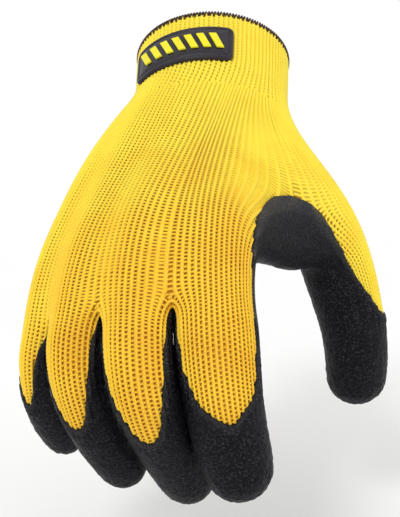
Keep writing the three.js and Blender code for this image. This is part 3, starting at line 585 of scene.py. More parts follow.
    def cap_faces(self, rim: list[int], end: Section, height: float) -> list[list[int]]:
        """The faces over the top of the dome on a digit's end.

        Args:
            rim: The last ring of the dome.
            end: The section that the dome stands on.
            height: Height of the dome.

        Returns:
            The faces, as point numbers.
        """
        grid = [[-1] * (BACK + 1) for _ in range(SIDE + 1)]
        for i in range(BACK + 1):
            grid[0][i], grid[SIDE][i] = rim[i], rim[2 * BACK + SIDE - i]
        for j in range(1, SIDE):
            grid[j][BACK], grid[j][0] = rim[BACK + j], rim[RING - j]
        for j in range(1, SIDE):
            for i in range(1, BACK):
                ends = [self.points[k] for k in (grid[j][0], grid[j][BACK], grid[0][i], grid[SIDE][i])]
                flat = (mix(ends[0], ends[1], i / BACK) + mix(ends[2], ends[3], j / SIDE)) / 2
                off = flat - end.middle
                x, y = off.dot(end.side) / end.half[0], off.dot(end.back) / end.half[1]
                up = height * math.sqrt(max(1 - x * x - y * y, 0))
                point = end.middle + end.side * x * end.half[0] + end.back * y * end.half[1]
                grid[j][i] = self.add(point + end.way * up)
        return [[grid[j][i], grid[j][i + 1], grid[j + 1][i + 1], grid[j + 1][i]]
                for j in range(SIDE) for i in range(BACK)]

    def strip_faces(self, rings: list[list[int]]) -> list[list[int]]:
        """Adds the faces between rings that follow each other and gives their numbers by row.

        Args:
            rings: The rings.

        Returns:
            Face numbers, a row for each pair of rings.
        """
        rows = []
        for near, far in zip(rings, rings[1:]):
            row = []
            for i in range(len(near)):
                j = (i + 1) % len(near)
                self.faces.append([near[i], near[j], far[j], far[i]])
                row.append(len(self.faces) - 1)
            rows.append(row)
        return rows

    def lay_faces(self) -> None:
        """Makes the faces of each region, kept by row and column."""
        self.faces: list[list[int]] = []
        self.cuff_faces = self.strip_faces(self.cuff_rings)
        self.heel_faces = self.strip_faces([self.cuff_rings[-1], *self.heel_rings])
        self.palm_faces = self.strip_faces(self.palm_rings)
        self.digit_faces = []
        for skin in self.digits:
            self.digit_faces.append(self.strip_faces(skin.rings))
            self.faces.extend(skin.cap)

    def even_out(self) -> None:
        """Moves points towards the middle of their neighbours, as the part's skin is smoothed."""
        near: list[set[int]] = [set() for _ in self.points]
        for face in self.faces:
            for k, point in enumerate(face):
                near[point].update((face[(k + 1) % 4], face[(k + 3) % 4]))
        shares: dict[int, float] = {}
        thumb_root, thumb_next = self.calm_thumb_roots
        *finger_skins, thumb_skin = self.digits
        groups = [(ring, self.calm_trunk) for ring in (self.cuff_rings[-1], *self.heel_rings)]
        groups += [(ring, self.calm_palm) for ring in self.palm_rings[1:]]
        groups += [(skin.rings[1], self.calm_finger_root) for skin in finger_skins]
        groups += [(thumb_skin.rings[1], thumb_root), (thumb_skin.rings[2], thumb_next)]
        calm_webs = (self.thumb_web, *self.webs, [self.heel_rings[-1][WEB_SIDE]])
        groups += [(web, self.calm_web) for web in calm_webs]
        for ring, share in groups:
            shares.update((point, share) for point in ring)
        for _ in range(self.calm_rounds):
            before = list(self.points)
            for point, share in shares.items():
                middle = np.mean([before[other] for other in near[point]], axis=0)
                self.points[point] = mix(before[point], middle, share)

    def film_field(self) -> Array:
        """How far each control point lies inside the edge of the dipped film, in degrees.

        Returns:
            A value for each control point, below 0 outside the film.
        """
        film = np.full(len(self.points), -COLUMN_DEGREES)
        for share, ring in zip(self.heel_rows, self.heel_rings):
            for i, point in enumerate(ring):
                sideways = min(i - self.FILM_COLUMNS[0], self.FILM_COLUMNS[1] - i)
                start = (share - self.FILM_START) / self.FILM_FADE
                film[point] = COLUMN_DEGREES * min(sideways, start)
        for end, ring in zip(self.FILM_TO_FINGERS, self.palm_rings[1:]):
            for i, point in enumerate(ring):
                past = end - i - len(ring) if i < 2 else min(i - self.FILM_COLUMNS[0], end - i)
                film[point] = COLUMN_DEGREES * past
        for skin in self.digits:
            bare = np.array(self.BARE_THUMB if skin.digit is THUMB else self.BARE_FINGER)
            longer, inner = self.TONGUES[skin.digit.name]
            reach = (skin.tip - skin.start) / (skin.length - skin.start) / longer
            for r, ring in enumerate(skin.rings):
                rows = (0.0, *self.digit_rows)
                share = reach * (rows[r] if r < len(rows) else 1.0)
                for k, point in enumerate(ring):
                    angle = (math.degrees(CORNER) - COLUMN_DEGREES * k + 180) % 360 - 180
                    edge = np.interp(share, bare[:, 0], bare[:, 1 if angle > 0 else 2])
                    if angle > 0:
                        edge *= mix(1, inner, float(ease(share, 0, 0.12)))
                    film[point] = abs(angle) - edge
            film[[point for face in skin.cap for point in face]] = COLUMN_DEGREES
        for row, column, past in self.FILM_AT_WEB:
            film[self.heel_rings[row][column]] = past
        return np.clip(film, -COLUMN_DEGREES, COLUMN_DEGREES)


def new_object(name: str, points: Array, faces: Iterable, smooth: bool = True) -> bpy.types.Object:
    """Makes a mesh object from points in metres and faces.

    Args:
        name: Name of the object and its mesh.
        points: Corners, in metres.
        faces: Corner numbers of each face.
        smooth: Whether its faces are shaded smooth.

    Returns:
        The object, linked to the scene.
    """
    mesh = bpy.data.meshes.new(name)
    mesh.from_pydata(np.asarray(points).tolist(), [], [list(map(int, face)) for face in faces])
    mesh.validate()
    mesh.update()
    mesh.shade_smooth() if smooth else mesh.shade_flat()
    obj = bpy.data.objects.new(name, mesh)
    bpy.context.scene.collection.objects.link(obj)
    return obj


def dress(obj: bpy.types.Object, slot: Slot, *materials: bpy.types.Material) -> bpy.types.Object:
    """Gives a piece its materials, and lets it ride on the body.

    Args:
        obj: The piece.
        slot: Not used.
        materials: Its materials, in order.

    Returns:
        The piece.
    """
    obj.data.materials.clear()
    for material in materials:
        obj.data.materials.append(material)
    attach(obj, BODY)
    return obj


@dataclass(frozen=True)
class Gauge:
    """How fine a piece is knitted: course and wale in mm, and how full the yarn lies."""

    course: float = 1.5
    wale: float = 4.3
    full: float = 1.0


@dataclass
class Strip:
    """A patch of the fine skin with columns across and rows towards the fingertips."""

    points: Array
    normals: Array
    film: Array
    courses: list[int]
    wales: int
    full: float

    @cached_property
    def across(self) -> Array:
        """Change of place for one column."""
        return np.gradient(self.points, axis=1) * FineSkin.CELLS

    @cached_property
    def along(self) -> Array:
        """Change of place for one row."""
        return np.gradient(self.points, axis=0) * FineSkin.CELLS

    @staticmethod
    def read(table: Array, u: Array, v: Array) -> Array:
        """Reads a table at places between its entries, and beyond its edges in a straight line.

        Args:
            table: Values by row and column of the fine grid.
            u: Places across, in columns.
            v: Places along, in rows.

        Returns:
            The values, with the shape of u and v.
        """
        x, y = u * FineSkin.CELLS, v * FineSkin.CELLS
        i = np.clip(np.floor(x).astype(int), 0, table.shape[1] - 2)
        j = np.clip(np.floor(y).astype(int), 0, table.shape[0] - 2)
        fx, fy = x - i, y - j
        if table.ndim == 3:
            fx, fy = fx[..., None], fy[..., None]
        near = table[j, i] * (1 - fx) + table[j, i + 1] * fx
        far = table[j + 1, i] * (1 - fx) + table[j + 1, i + 1] * fx
        return near * (1 - fy) + far * fy


class FineSkin:
    """The control skin rounded off: a grid of fine points on each face, with the film's field."""

    CELLS = 8
    LEVEL = 3
    WIDTH = 64
    HOLD = 0.7
    FILM_ROUNDS = 14

    def __init__(self, cage: GloveCage) -> None:
        """Rounds the skin.

        Args:
            cage: The control skin.
        """
        self.cage = cage
        coarse = np.array(cage.points)
        self.subdivide(coarse)
        limit = np.empty_like(coarse)
        corners = ((0, 0), (0, self.CELLS), (self.CELLS, self.CELLS), (self.CELLS, 0))
        for face, grid in zip(cage.faces, self.grid):
            for point, (j, i) in zip(face, corners):
                limit[point] = self.points[grid[j, i]]
        self.subdivide(coarse + (coarse - limit) * self.HOLD)
        self.spread_film()

    def subdivide(self, coarse: Array) -> None:
        """Subdivides the control skin and finds each face's grid of fine points.

        Args:
            coarse: The control points.
        """
        obj = new_object("cage", coarse, self.cage.faces)
        count = len(self.cage.faces)
        cells = np.arange(count)
        base = np.stack([2 * (cells % self.WIDTH), 2 * (cells // self.WIDTH)], axis=1)
        local = np.array([(0, 0), (1, 0), (1, 1), (0, 1)])
        layer = obj.data.uv_layers.new(name="cell")
        layer.data.foreach_set("uv", (base[:, None] + local[None]).astype(np.float32).ravel())
        subdivision = obj.modifiers.new("round", "SUBSURF")
        subdivision.levels = subdivision.render_levels = self.LEVEL
        subdivision.uv_smooth = "NONE"
        fine = obj.evaluated_get(bpy.context.evaluated_depsgraph_get()).to_mesh()
        self.points = self.read(fine.vertices, "co", 3)
        self.normals = self.read(fine.vertex_normals, "vector", 3)
        uv = self.read(fine.uv_layers["cell"].data, "uv", 2)
        corner = np.empty(len(fine.loops), np.int32)
        fine.loops.foreach_get("vertex_index", corner)
        cell = np.floor((uv + 0.25) / 2).astype(int)
        inner = np.rint((uv - 2 * cell) * self.CELLS).astype(int)
        self.grid = np.full((count, self.CELLS + 1, self.CELLS + 1), -1)
        self.grid[cell[:, 0] + self.WIDTH * cell[:, 1], inner[:, 1], inner[:, 0]] = corner
        bpy.data.objects.remove(obj)

    @staticmethod
    def read(data: bpy.types.bpy_prop_collection, name: str, width: int) -> Array:
        """Reads one property of a mesh into an array.

        Args:
            data: The mesh's elements.
            name: The property.
            width: Values that each element has.

        Returns:
            The values, a row for each element.
        """
        values = np.empty(len(data) * width, np.float32)
        data.foreach_get(name, values)
        return values.reshape(-1, width).astype(float)

    def spread_film(self) -> None:
        """Works out the film's field on the fine points and smooths its edge."""
        step = np.linspace(0, 1, self.CELLS + 1)
        y, x = np.meshgrid(step, step, indexing="ij")
        corners = self.cage.film[np.array(self.cage.faces)]
        a, b, c, d = (corners[:, k, None, None] for k in range(4))
        value = (a * (1 - x) + b * x) * (1 - y) + (d * (1 - x) + c * x) * y
        self.film = np.zeros(len(self.points))
        self.film[self.grid] = value
        pairs = np.concatenate([
            np.stack([self.grid[:, :, :-1].ravel(), self.grid[:, :, 1:].ravel()], axis=1),
            np.stack([self.grid[:, :-1].ravel(), self.grid[:, 1:].ravel()], axis=1)])
        near, far = np.concatenate([pairs, pairs[:, ::-1]]).T
        count = np.bincount(near, minlength=len(self.points))
        for _ in range(self.FILM_ROUNDS):
            self.film = np.bincount(near, self.film[far], len(self.points)) / np.maximum(count, 1)

    def strip(self, rows: list[list[int]], gauge: Gauge) -> Strip:
        """Joins a block of faces into one strip.

        Args:
            rows: Face numbers by row and column.
            gauge: How fine its stitches are.

        Returns:
            The strip, with the courses that each row takes and its number of wales.
        """
        n = self.CELLS
        index = np.empty((len(rows) * n + 1, len(rows[0]) * n + 1), int)
        for r, row in enumerate(rows):
            for c, face in enumerate(row):
                index[r * n:r * n + n + 1, c * n:c * n + n + 1] = self.grid[face]
        points = self.points[index]
        courses = []
        for r in range(len(rows)):
            lengths = np.linalg.norm(np.diff(points[r * n:r * n + n + 1], axis=0), axis=2).sum(axis=0)
            courses.append(max(1, round(float(lengths.mean()) / gauge.course)))
        width = np.linalg.norm(np.diff(points, axis=1), axis=2).sum(axis=1).mean()
        wales = max(1, round(float(width) / gauge.wale))
        return Strip(points, self.normals[index], self.film[index], courses, wales, gauge.full)


class NodeKit:
    """A short way to build a material's nodes."""

    def __init__(self, name: str) -> None:
        """Starts a material with its shader.

        Args:
            name: Name of the material.
        """
        self.material = bpy.data.materials.new(name)
        self.material.use_nodes = True
        self.tree = self.material.node_tree
        self.shader = self.tree.nodes["Principled BSDF"]

    def node(self, kind: str, inputs: dict | None = None, **settings) -> bpy.types.Node:
        """Adds a node, sets its settings, and sets or links its inputs.

        Args:
            kind: Type of the node.
            inputs: Values or sockets, by input.
            settings: Properties of the node.

        Returns:
            The node.
        """
        made = self.tree.nodes.new(kind)
        for name, value in settings.items():
            setattr(made, name, value)
        for name, value in (inputs or {}).items():
            if isinstance(value, bpy.types.NodeSocket):
                self.tree.links.new(value, made.inputs[name])
            else:
                made.inputs[name].default_value = value
        return made

    def place(self) -> bpy.types.NodeSocket:
        """Places on the object, in metres."""
        return self.node("ShaderNodeTexCoord").outputs["Object"]

    def noise(self, scale: float, detail: float = 2, roughness: float = 0.5) -> bpy.types.NodeSocket:
        """Noise whose features are about one over the scale, in metres.

        Args:
            scale: Features a metre.
            detail: Octaves of finer noise.
            roughness: How strong the finer noise is.

        Returns:
            The noise, from 0 to 1.
        """
        made = self.node("ShaderNodeTexNoise", {"Vector": self.place(), "Scale": scale,
                                                "Detail": detail, "Roughness": roughness})
        return made.outputs["Fac"]

    def ramp(self, value: bpy.types.NodeSocket, *stops: tuple) -> bpy.types.NodeSocket:
        """Colours by value: each stop is a place and a colour.

        Args:
            value: What is coloured.
            stops: The stops.

        Returns:
            The colour.
        """
        made = self.node("ShaderNodeValToRGB", {"Fac": value})
        ramp = made.color_ramp
        while len(ramp.elements) < len(stops):
            ramp.elements.new(0.5)
        for element, (place, colour) in zip(ramp.elements, stops):
            element.position = place
            element.color = (*colour, 1)
        return made.outputs["Color"]

    def span(self, value: bpy.types.NodeSocket, low: float, high: float,
             to_low: float, to_high: float) -> bpy.types.NodeSocket:
        """A value taken from one range to another, and held at its ends.

        Args:
            value: The value.
            low: Start of its range.
            high: End of its range.
            to_low: What the start becomes.
            to_high: What the end becomes.

        Returns:
            The new value.
        """
        made = self.node("ShaderNodeMapRange", {"Value": value, "From Min": low, "From Max": high,
                                                "To Min": to_low, "To Max": to_high})
        return made.outputs["Result"]

    def blend(self, share: Paint, a: Paint, b: Paint, kind: str = "MIX") -> bpy.types.NodeSocket:
        """A mix of two colours.

        Args:
            share: Share of the second one.
            a: The first colour.
            b: The second colour.
            kind: How they mix.

        Returns:
            The mixed colour.
        """
        made = self.node("ShaderNodeMix", data_type="RGBA", blend_type=kind)
        for index, value in ((0, share), (6, a), (7, b)):
            if isinstance(value, bpy.types.NodeSocket):
                self.tree.links.new(value, made.inputs[index])
            else:
                made.inputs[index].default_value = (*value, 1) if isinstance(value, tuple) else value
        return made.outputs[2]

    def bump(self, height: bpy.types.NodeSocket, depth: float,
             before: bpy.types.NodeSocket | None = None) -> bpy.types.NodeSocket:
        """A bump of a height in metres, over another bump.

        Args:
            height: What raises the surface.
            depth: Height of the bump, in metres.
            before: The bump beneath.

        Returns:
            The normal.
        """
        inputs = {"Height": height, "Distance": depth, "Strength": 1.0}
        if before is not None:
            inputs["Normal"] = before
        return self.node("ShaderNodeBump", inputs).outputs["Normal"]

    def attribute(self, name: str) -> bpy.types.NodeSocket:
        """A value that the mesh carries."""
        return self.node("ShaderNodeAttribute", attribute_name=name).outputs["Fac"]

    def set(self, **values) -> None:
        """Sets or links the shader's sockets, by names with underscores.

        Args:
            values: Value or socket for each.
        """
        for name, value in values.items():
            socket = self.shader.inputs[name.replace("_", " ")]
            if isinstance(value, bpy.types.NodeSocket):
                self.tree.links.new(value, socket)
            else:
                socket.default_value = (*value, 1) if isinstance(value, tuple) else value


@dataclass(frozen=True)
class YarnFinish:
    """Matte spun yarn: lemon on the cuff, with painted shade that turns it a deeper gold towards the
    fingertips and darker under each strand.
    """

    lemon: tuple = (0.95, 0.79, 0.055)
    # The next two are painted shade: a deeper gold for the fingers, and the deepest shade under the
    # strands, which the fibre flecks also use.
    golden_painted_shade: tuple = (0.94, 0.62, 0.03)
    shade: tuple = (0.82, 0.42, 0.014)

    def material(self) -> bpy.types.Material:
        """Builds the yarn's material.

        Returns:
            The material, with its nodes.
        """
        kit = NodeKit("yarn")
        # Painted shade read from the mesh, with random patches, picks the colour from lemon through the
        # painted shade colours.
        tone = kit.attribute("tone")
        patches = kit.span(kit.noise(60, 2), 0.35, 0.65, -0.12, 0.12)
        total = kit.node("ShaderNodeMath", {0: tone, 1: patches}, operation="ADD").outputs[0]
        colour = kit.ramp(total, (0.05, self.lemon), (0.55, self.golden_painted_shade), (1.0, self.shade))
        fibres = kit.noise(3200, 3, 0.7)
        # Random fibre flecks take a little of the shade colour.
        fleck_and_glint = kit.blend(kit.span(fibres, 0.3, 0.7, 0.0, 0.12), colour, self.shade)
        kit.set(Base_Color=fleck_and_glint, Roughness=0.85, Sheen_Weight=0.25, Sheen_Roughness=0.5,
                Normal=kit.bump(fibres, 0.00012))
        kit.shader.inputs["Sheen Tint"].default_value = (1.0, 0.85, 0.35, 1)
        return kit.material


@dataclass(frozen=True)
class InsideFinish:
    """The inside of the knit, and the deep yarn seen through its holes, whose darker orange is painted
    shade.
    """

    light: tuple
    dark: tuple
    name: str

    def material(self) -> bpy.types.Material:
        """Builds the material of one side of the knitted wall.

        Returns:
            The material, with its nodes.
        """
        kit = NodeKit(self.name)
        loops = kit.node("ShaderNodeTexVoronoi", {"Vector": kit.place(), "Scale": 520.0})
        patches = kit.noise(90, 3)
        colour = kit.ramp(patches, (0.3, self.dark), (0.7, self.light))
        kit.set(Base_Color=colour, Roughness=0.92,
                Normal=kit.bump(loops.outputs["Distance"], 0.0006))
        return kit.material


@dataclass(frozen=True)
class LatexFinish:
    """Crinkled dipped latex: satin in the palm, glossier where it thins out at its edge, with lighter
    specks on its crumb that are painted glints.
    """

    black: tuple = (0.002, 0.002, 0.0032)
    # Colour of the lighter crumb specks: painted glints.
    fleck_and_glint: tuple = (0.032, 0.031, 0.04)

    def material(self) -> bpy.types.Material:
        """Builds the film's material.

        Returns:
            The material, with its nodes.
        """
        kit = NodeKit("latex")
        edge = kit.attribute("edge")
        crumb = kit.noise(1500, 2, 0.6)
        # Lighter specks where the crumb noise is high are painted glints.
        colour = kit.blend(kit.span(crumb, 0.52, 0.66, 0, 1), self.black, self.fleck_and_glint)
        rough = kit.span(edge, 0.1, 0.7, 0.16, 0.42)
        fine = kit.bump(crumb, 0.0006)
        kit.set(Base_Color=colour, Roughness=rough, Normal=kit.bump(kit.noise(2400, 2), 0.0001, fine),
                Specular_IOR_Level=kit.span(edge, 0.05, 0.4, 0.26, 0.1))
        return kit.material


@dataclass(frozen=True)
class ThreadFinish:
    """Dark brown overlock thread."""

    dark: tuple = (0.022, 0.009, 0.006)
    light: tuple = (0.07, 0.032, 0.018)

    def material(self) -> bpy.types.Material:
        """Builds the thread's material.

        Returns:
            The material, with its nodes.
        """
        kit = NodeKit("hem thread")
        fibres = kit.noise(2600, 3, 0.7)
        colour = kit.ramp(fibres, (0.3, self.dark), (0.75, self.light))
        kit.set(Base_Color=colour, Roughness=0.8, Normal=kit.bump(fibres, 0.00012))
        return kit.material


@dataclass(frozen=True)
class MouldedFinish:
    """Satin moulded rubber with a fine grain."""

    name: str
    colour: tuple
    light: tuple
    roughness: float

    def material(self) -> bpy.types.Material:
        """Builds the rubber's material.

        Returns:
            The material, with its nodes.
        """
        kit = NodeKit(self.name)
        grain = kit.noise(1500, 3)
        colour = kit.blend(kit.span(kit.noise(120, 2), 0.35, 0.7, 0, 1), self.colour, self.light)
        kit.set(Base_Color=colour, Roughness=self.roughness, Specular_IOR_Level=0.28,
                Normal=kit.bump(grain, 0.00004))
        return kit.material


def tube_faces(rings: int, sides: int) -> Array:
    """The faces of an open tube of rings with a number of sides each.

    Args:
        rings: Number of rings.
        sides: Points of each ring.

    Returns:
        Four point numbers for each face.
    """
    r, k = np.meshgrid(np.arange(rings - 1), np.arange(sides), indexing="ij")
    j = (k + 1) % sides
    quads = np.stack([r * sides + k, (r + 1) * sides + k, (r + 1) * sides + j, r * sides + j], -1)
    return quads.reshape(-1, 4)


@dataclass(frozen=True)
class YarnPath:
    """One run of yarn in a stitch.

    Across is in columns and along in courses. Up is in mm, and half the thickness is a share of the
    space between two legs.
    """

    across: tuple[float, ...]
    along: tuple[float, ...]
    up: tuple[float, ...]
    half: tuple[float, ...]

    def mirrored(self) -> "YarnPath":
        """The same run on the other side of the stitch."""
        return YarnPath(tuple(-x for x in self.across), self.along, self.up, self.half)


LEG = YarnPath(
    across=(0.2, 0.225, 0.265, 0.29),
    along=(-0.35, 0.15, 0.85, 1.3),
    up=(-0.55, 0.02, 0.02, -0.55),
    half=(0.22, 0.29, 0.29, 0.22),
)
RUNG = YarnPath(
    across=(0.25, 0.5, 0.75),
    along=(0.2, 0.0, 0.2),
    up=(-0.12, -0.25, -0.12),
    half=(0.18, 0.2, 0.18),
)
LOOP = YarnPath(
    across=(-0.25, 0.0, 0.25),
    along=(0.7, 0.5, 0.7),
    up=(-0.12, -0.25, -0.12),
    half=(0.18, 0.2, 0.18),
)


@dataclass
class KnitYarn:
    """The knitted yarn as real stitches: two legs and a rung each, laid on the strips."""

    skin: FineSkin
    sides: int = 4
    hand: Gauge = Gauge()
    gauges: dict[str, Gauge] = field(default_factory=lambda: {
        "knit_cuff": Gauge(1.9, 3.66), "knit_thumb": Gauge(1.45, 3.2, 1.3),
        "knit_palm": Gauge(1.9, 4.3, 1.3)})
    under_film: float = 9.0
    film_sink: float = 1.5
    leg_space: tuple[float, float] = (1.5, 3.4)
    fullness: tuple[tuple[float, float], ...] = ((0.0, 1.85), (0.045, 1.6), (0.085, 1.0))
    # Painted shade on the yarn: the drop below the cuff, in m, over which it grows, its depth at the
    # fingertips, and what each strand's underside adds.
    painted_shade_reach: tuple[float, float] = (0.05, 0.14)
    painted_shade_tips: float = 0.62
    painted_shade_under: float = 0.35
    sink_reach: tuple[float, float] = (-1, 6)
    half_most: float = 0.9
    shown_rows: int = 6

    def rows(self, *blocks: tuple[list, int, int]) -> list[list[int]]:
        """Face numbers of blocks that follow each other: a region's rows, first column and count."""
        return [[row[(first + k) % len(row)] for k in range(count)]
                for region, first, count in blocks for row in region]

    def strips(self) -> dict[str, list[Strip]]:
        """The strips of each piece, by the piece's name.

        Returns:
            Lists of strips.
        """
        cage = self.skin.cage
        cuff, heel, palm, digits = cage.cuff_faces, cage.heel_faces, cage.palm_faces, cage.digit_faces
        made = {"knit_cuff": [self.rows((cuff, 0, TRUNK))]}
        for f, finger in enumerate(FINGERS):
            shown = digits[f][:self.shown_rows]
            name = f"knit_{finger.name}"
            made[name] = [self.rows((heel, BACK * f, BACK), (palm, BACK * f, BACK), (shown, 0, BACK))]
            if f < 3:
                made[name].append(self.rows((shown, BACK, SIDE)))
            if f:
                made[name].append(self.rows((shown, 2 * BACK + SIDE, SIDE)))
        index, *_, little, thumb = (rings[:self.shown_rows] for rings in digits)
        made["knit_little_finger"].append(
            self.rows((heel, LITTLE_SIDE, SIDE), (palm, LITTLE_SIDE, SIDE), (little, BACK, SIDE)))
        made["knit_index_finger"].append(
            self.rows((palm, WEB_SIDE, SIDE), (index, 2 * BACK + SIDE, SIDE)))
        made["knit_thumb"] = [
            self.rows((heel, THUMB_BACK, BACK), (thumb, 0, BACK)),
            self.rows((heel, THUMB_SIDE, SIDE), (thumb, 2 * BACK + SIDE, SIDE)),
            self.rows((thumb, BACK, SIDE))]
        made["knit_palm"] = [self.rows((heel[:2], PALM_SIDE, THUMB_SIDE - PALM_SIDE))]
        return {name: [self.skin.strip(rows, self.gauges.get(name, self.hand)) for rows in blocks]
                for name, blocks in made.items()}

    def stitch_places(self, strip: Strip) -> tuple[Array, Array, Array]:
        """Column, row and course length of each stitch of a strip that the film leaves bare.

        Args:
            strip: The patch of skin that carries the stitches.

        Returns:
            Places across in columns, places along in rows, and lengths in rows.
        """
        columns = (strip.points.shape[1] - 1) // FineSkin.CELLS
        u, v, step = [], [], []
        for row, count in enumerate(strip.courses):
            for course in range(count):
                u += [(wale + 0.5) * columns / strip.wales for wale in range(strip.wales)]
                v += [row + course / count] * strip.wales
                step += [1 / count] * strip.wales
        u, v, step = np.array(u), np.array(v), np.array(step)
        bare = Strip.read(strip.film, u, v + step / 2) < self.under_film
        return u[bare], v[bare], step[bare]

    def lay(self, strip: Strip, path: YarnPath) -> tuple[Array, Array, Array]:
        """Lays one run of yarn in every stitch of a strip.

        Args:
            strip: The patch of skin that carries the stitches.
            path: The run of yarn.

        Returns:
            Points in mm, faces, and a painted shade value for each point.
        """
        u0, v0, step = self.stitch_places(strip)
        columns = (strip.points.shape[1] - 1) // FineSkin.CELLS
        wide_share = columns / strip.wales
        count, rings = len(u0), len(path.across)
        across, along = np.array(path.across) * wide_share, np.array(path.along)
        u = u0[:, None] + across
        v = v0[:, None] + step[:, None] * along
        wide, long = Strip.read(strip.across, u, v), Strip.read(strip.along, u, v)
        shear = (wide * long).sum(axis=-1) / (long * long).sum(axis=-1)
        v = v - np.clip(shear, -1, 1) * (across - across.mean())
        wide = Strip.read(strip.across, u, v)
        long = Strip.read(strip.along, u, v) * step[:, None, None]
        normal = unit(Strip.read(strip.normals, u, v))
        tangent = wide * np.gradient(across)[:, None] + long * np.gradient(along)[:, None]
        aside = unit(np.cross(tangent, normal))
        skin = Strip.read(strip.points, u, v)
        reach, full = zip(*self.fullness)
        space = np.clip(np.linalg.norm(wide, axis=-1) * wide_share / 2, *self.leg_space)
        space = space * np.maximum(np.interp(-skin[..., 1] * MM, reach, full), strip.full)
        half = np.minimum(space * np.array(path.half), self.half_most)
        sunk = ease(Strip.read(strip.film, u, v), *self.sink_reach)
        up = np.array(path.up) - self.film_sink * sunk
        middle = skin + normal * up[..., None]
        turn = 2 * np.pi * np.arange(self.sides) / self.sides + np.pi / 2
        ring = (aside[:, :, None] * np.cos(turn)[:, None] + normal[:, :, None] * np.sin(turn)[:, None])
        points = middle[:, :, None] + ring * half[..., None, None]
        faces = tube_faces(rings, self.sides)
        faces = faces[None] + (np.arange(count) * rings * self.sides)[:, None, None]
        # Painted shade: darker with the drop towards the fingertips, and darker still on the underside
        # of each strand.
        tone = np.interp(-middle[..., 1] * MM, self.painted_shade_reach, (0.0, self.painted_shade_tips))
        tone = np.repeat(tone[:, :, None], self.sides, axis=2)
        tone = tone + np.where(np.sin(turn) < 0, self.painted_shade_under, 0.0)
        return points.reshape(-1, 3), faces.reshape(-1, 4), tone.ravel()

    def build(self, finish: bpy.types.Material) -> None:
        """Builds the yarn of every piece.

        Args:
            finish: The yarn's material.
        """
        for name, strips in self.strips().items():
            points, faces, painted_shades, start = [], [], [], 0
            for strip in strips:
                for path in (LEG, LEG.mirrored(), RUNG, LOOP):
                    p, f, t = self.lay(strip, path)
                    points.append(p)
                    faces.append(f + start)
                    painted_shades.append(t)
                    start += len(p)
            obj = new_object(name, np.concatenate(points) * MM, np.concatenate(faces))
            # The painted shade that the yarn's material reads.
            layer = obj.data.attributes.new("tone", "FLOAT", "POINT")
            layer.data.foreach_set("value", np.concatenate(painted_shades).astype(np.float32))
            dress(obj, Slot.KNIT, finish)
            LOG.info("%s: %d triangles", name, 2 * len(obj.data.polygons))


@dataclass
class KnitWall:
    """The closed wall behind the stitches: deep yarn outside, in a darker orange that is painted shade,
    the knit's inside face within.
    """

    skin: FineSkin
    outside: float = -0.95
    inside: float = -2.3
    nodes: tuple[str, ...] = ("rib_cuff", "hand_body", *(d.name for d in (*FINGERS, THUMB)))

    def build(self, outer: bpy.types.Material, inner: bpy.types.Material) -> None:
        """Builds the wall from every second fine point.

        Args:
            outer: Material of its outside.
            inner: Material of its inside and rim.
        """
        grid = self.skin.grid[:, ::2, ::2]
        quads = np.stack([grid[:, :-1, :-1], grid[:, :-1, 1:], grid[:, 1:, 1:], grid[:, 1:, :-1]], -1)
        quads = quads.reshape(-1, 4)
        used, faces = np.unique(quads, return_inverse=True)
        faces = faces.reshape(-1, 4)
        points, normals = self.skin.points[used], self.skin.normals[used]
        count = len(used)
        hem = [np.flatnonzero(used == k)[0] for face in self.skin.cage.cuff_faces[0]
               for k in self.skin.grid[face, 0, ::2][:-1]]
        rim = [[hem[k], hem[k] + count, hem[(k + 1) % len(hem)] + count, hem[(k + 1) % len(hem)]]
               for k in range(len(hem))]
        shell = np.concatenate([points + normals * self.outside, points + normals * self.inside])
        obj = new_object("knit_wall", shell * MM, [*faces, *(faces[:, ::-1] + count), *rim])
        dress(obj, Slot.KNIT, outer, inner)
        slots = np.zeros(len(obj.data.polygons), np.int32)
        slots[len(faces):] = 1
        obj.data.polygons.foreach_set("material_index", slots)
        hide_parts(*self.nodes)
        LOG.info("knit_wall: %d triangles", 2 * len(obj.data.polygons))


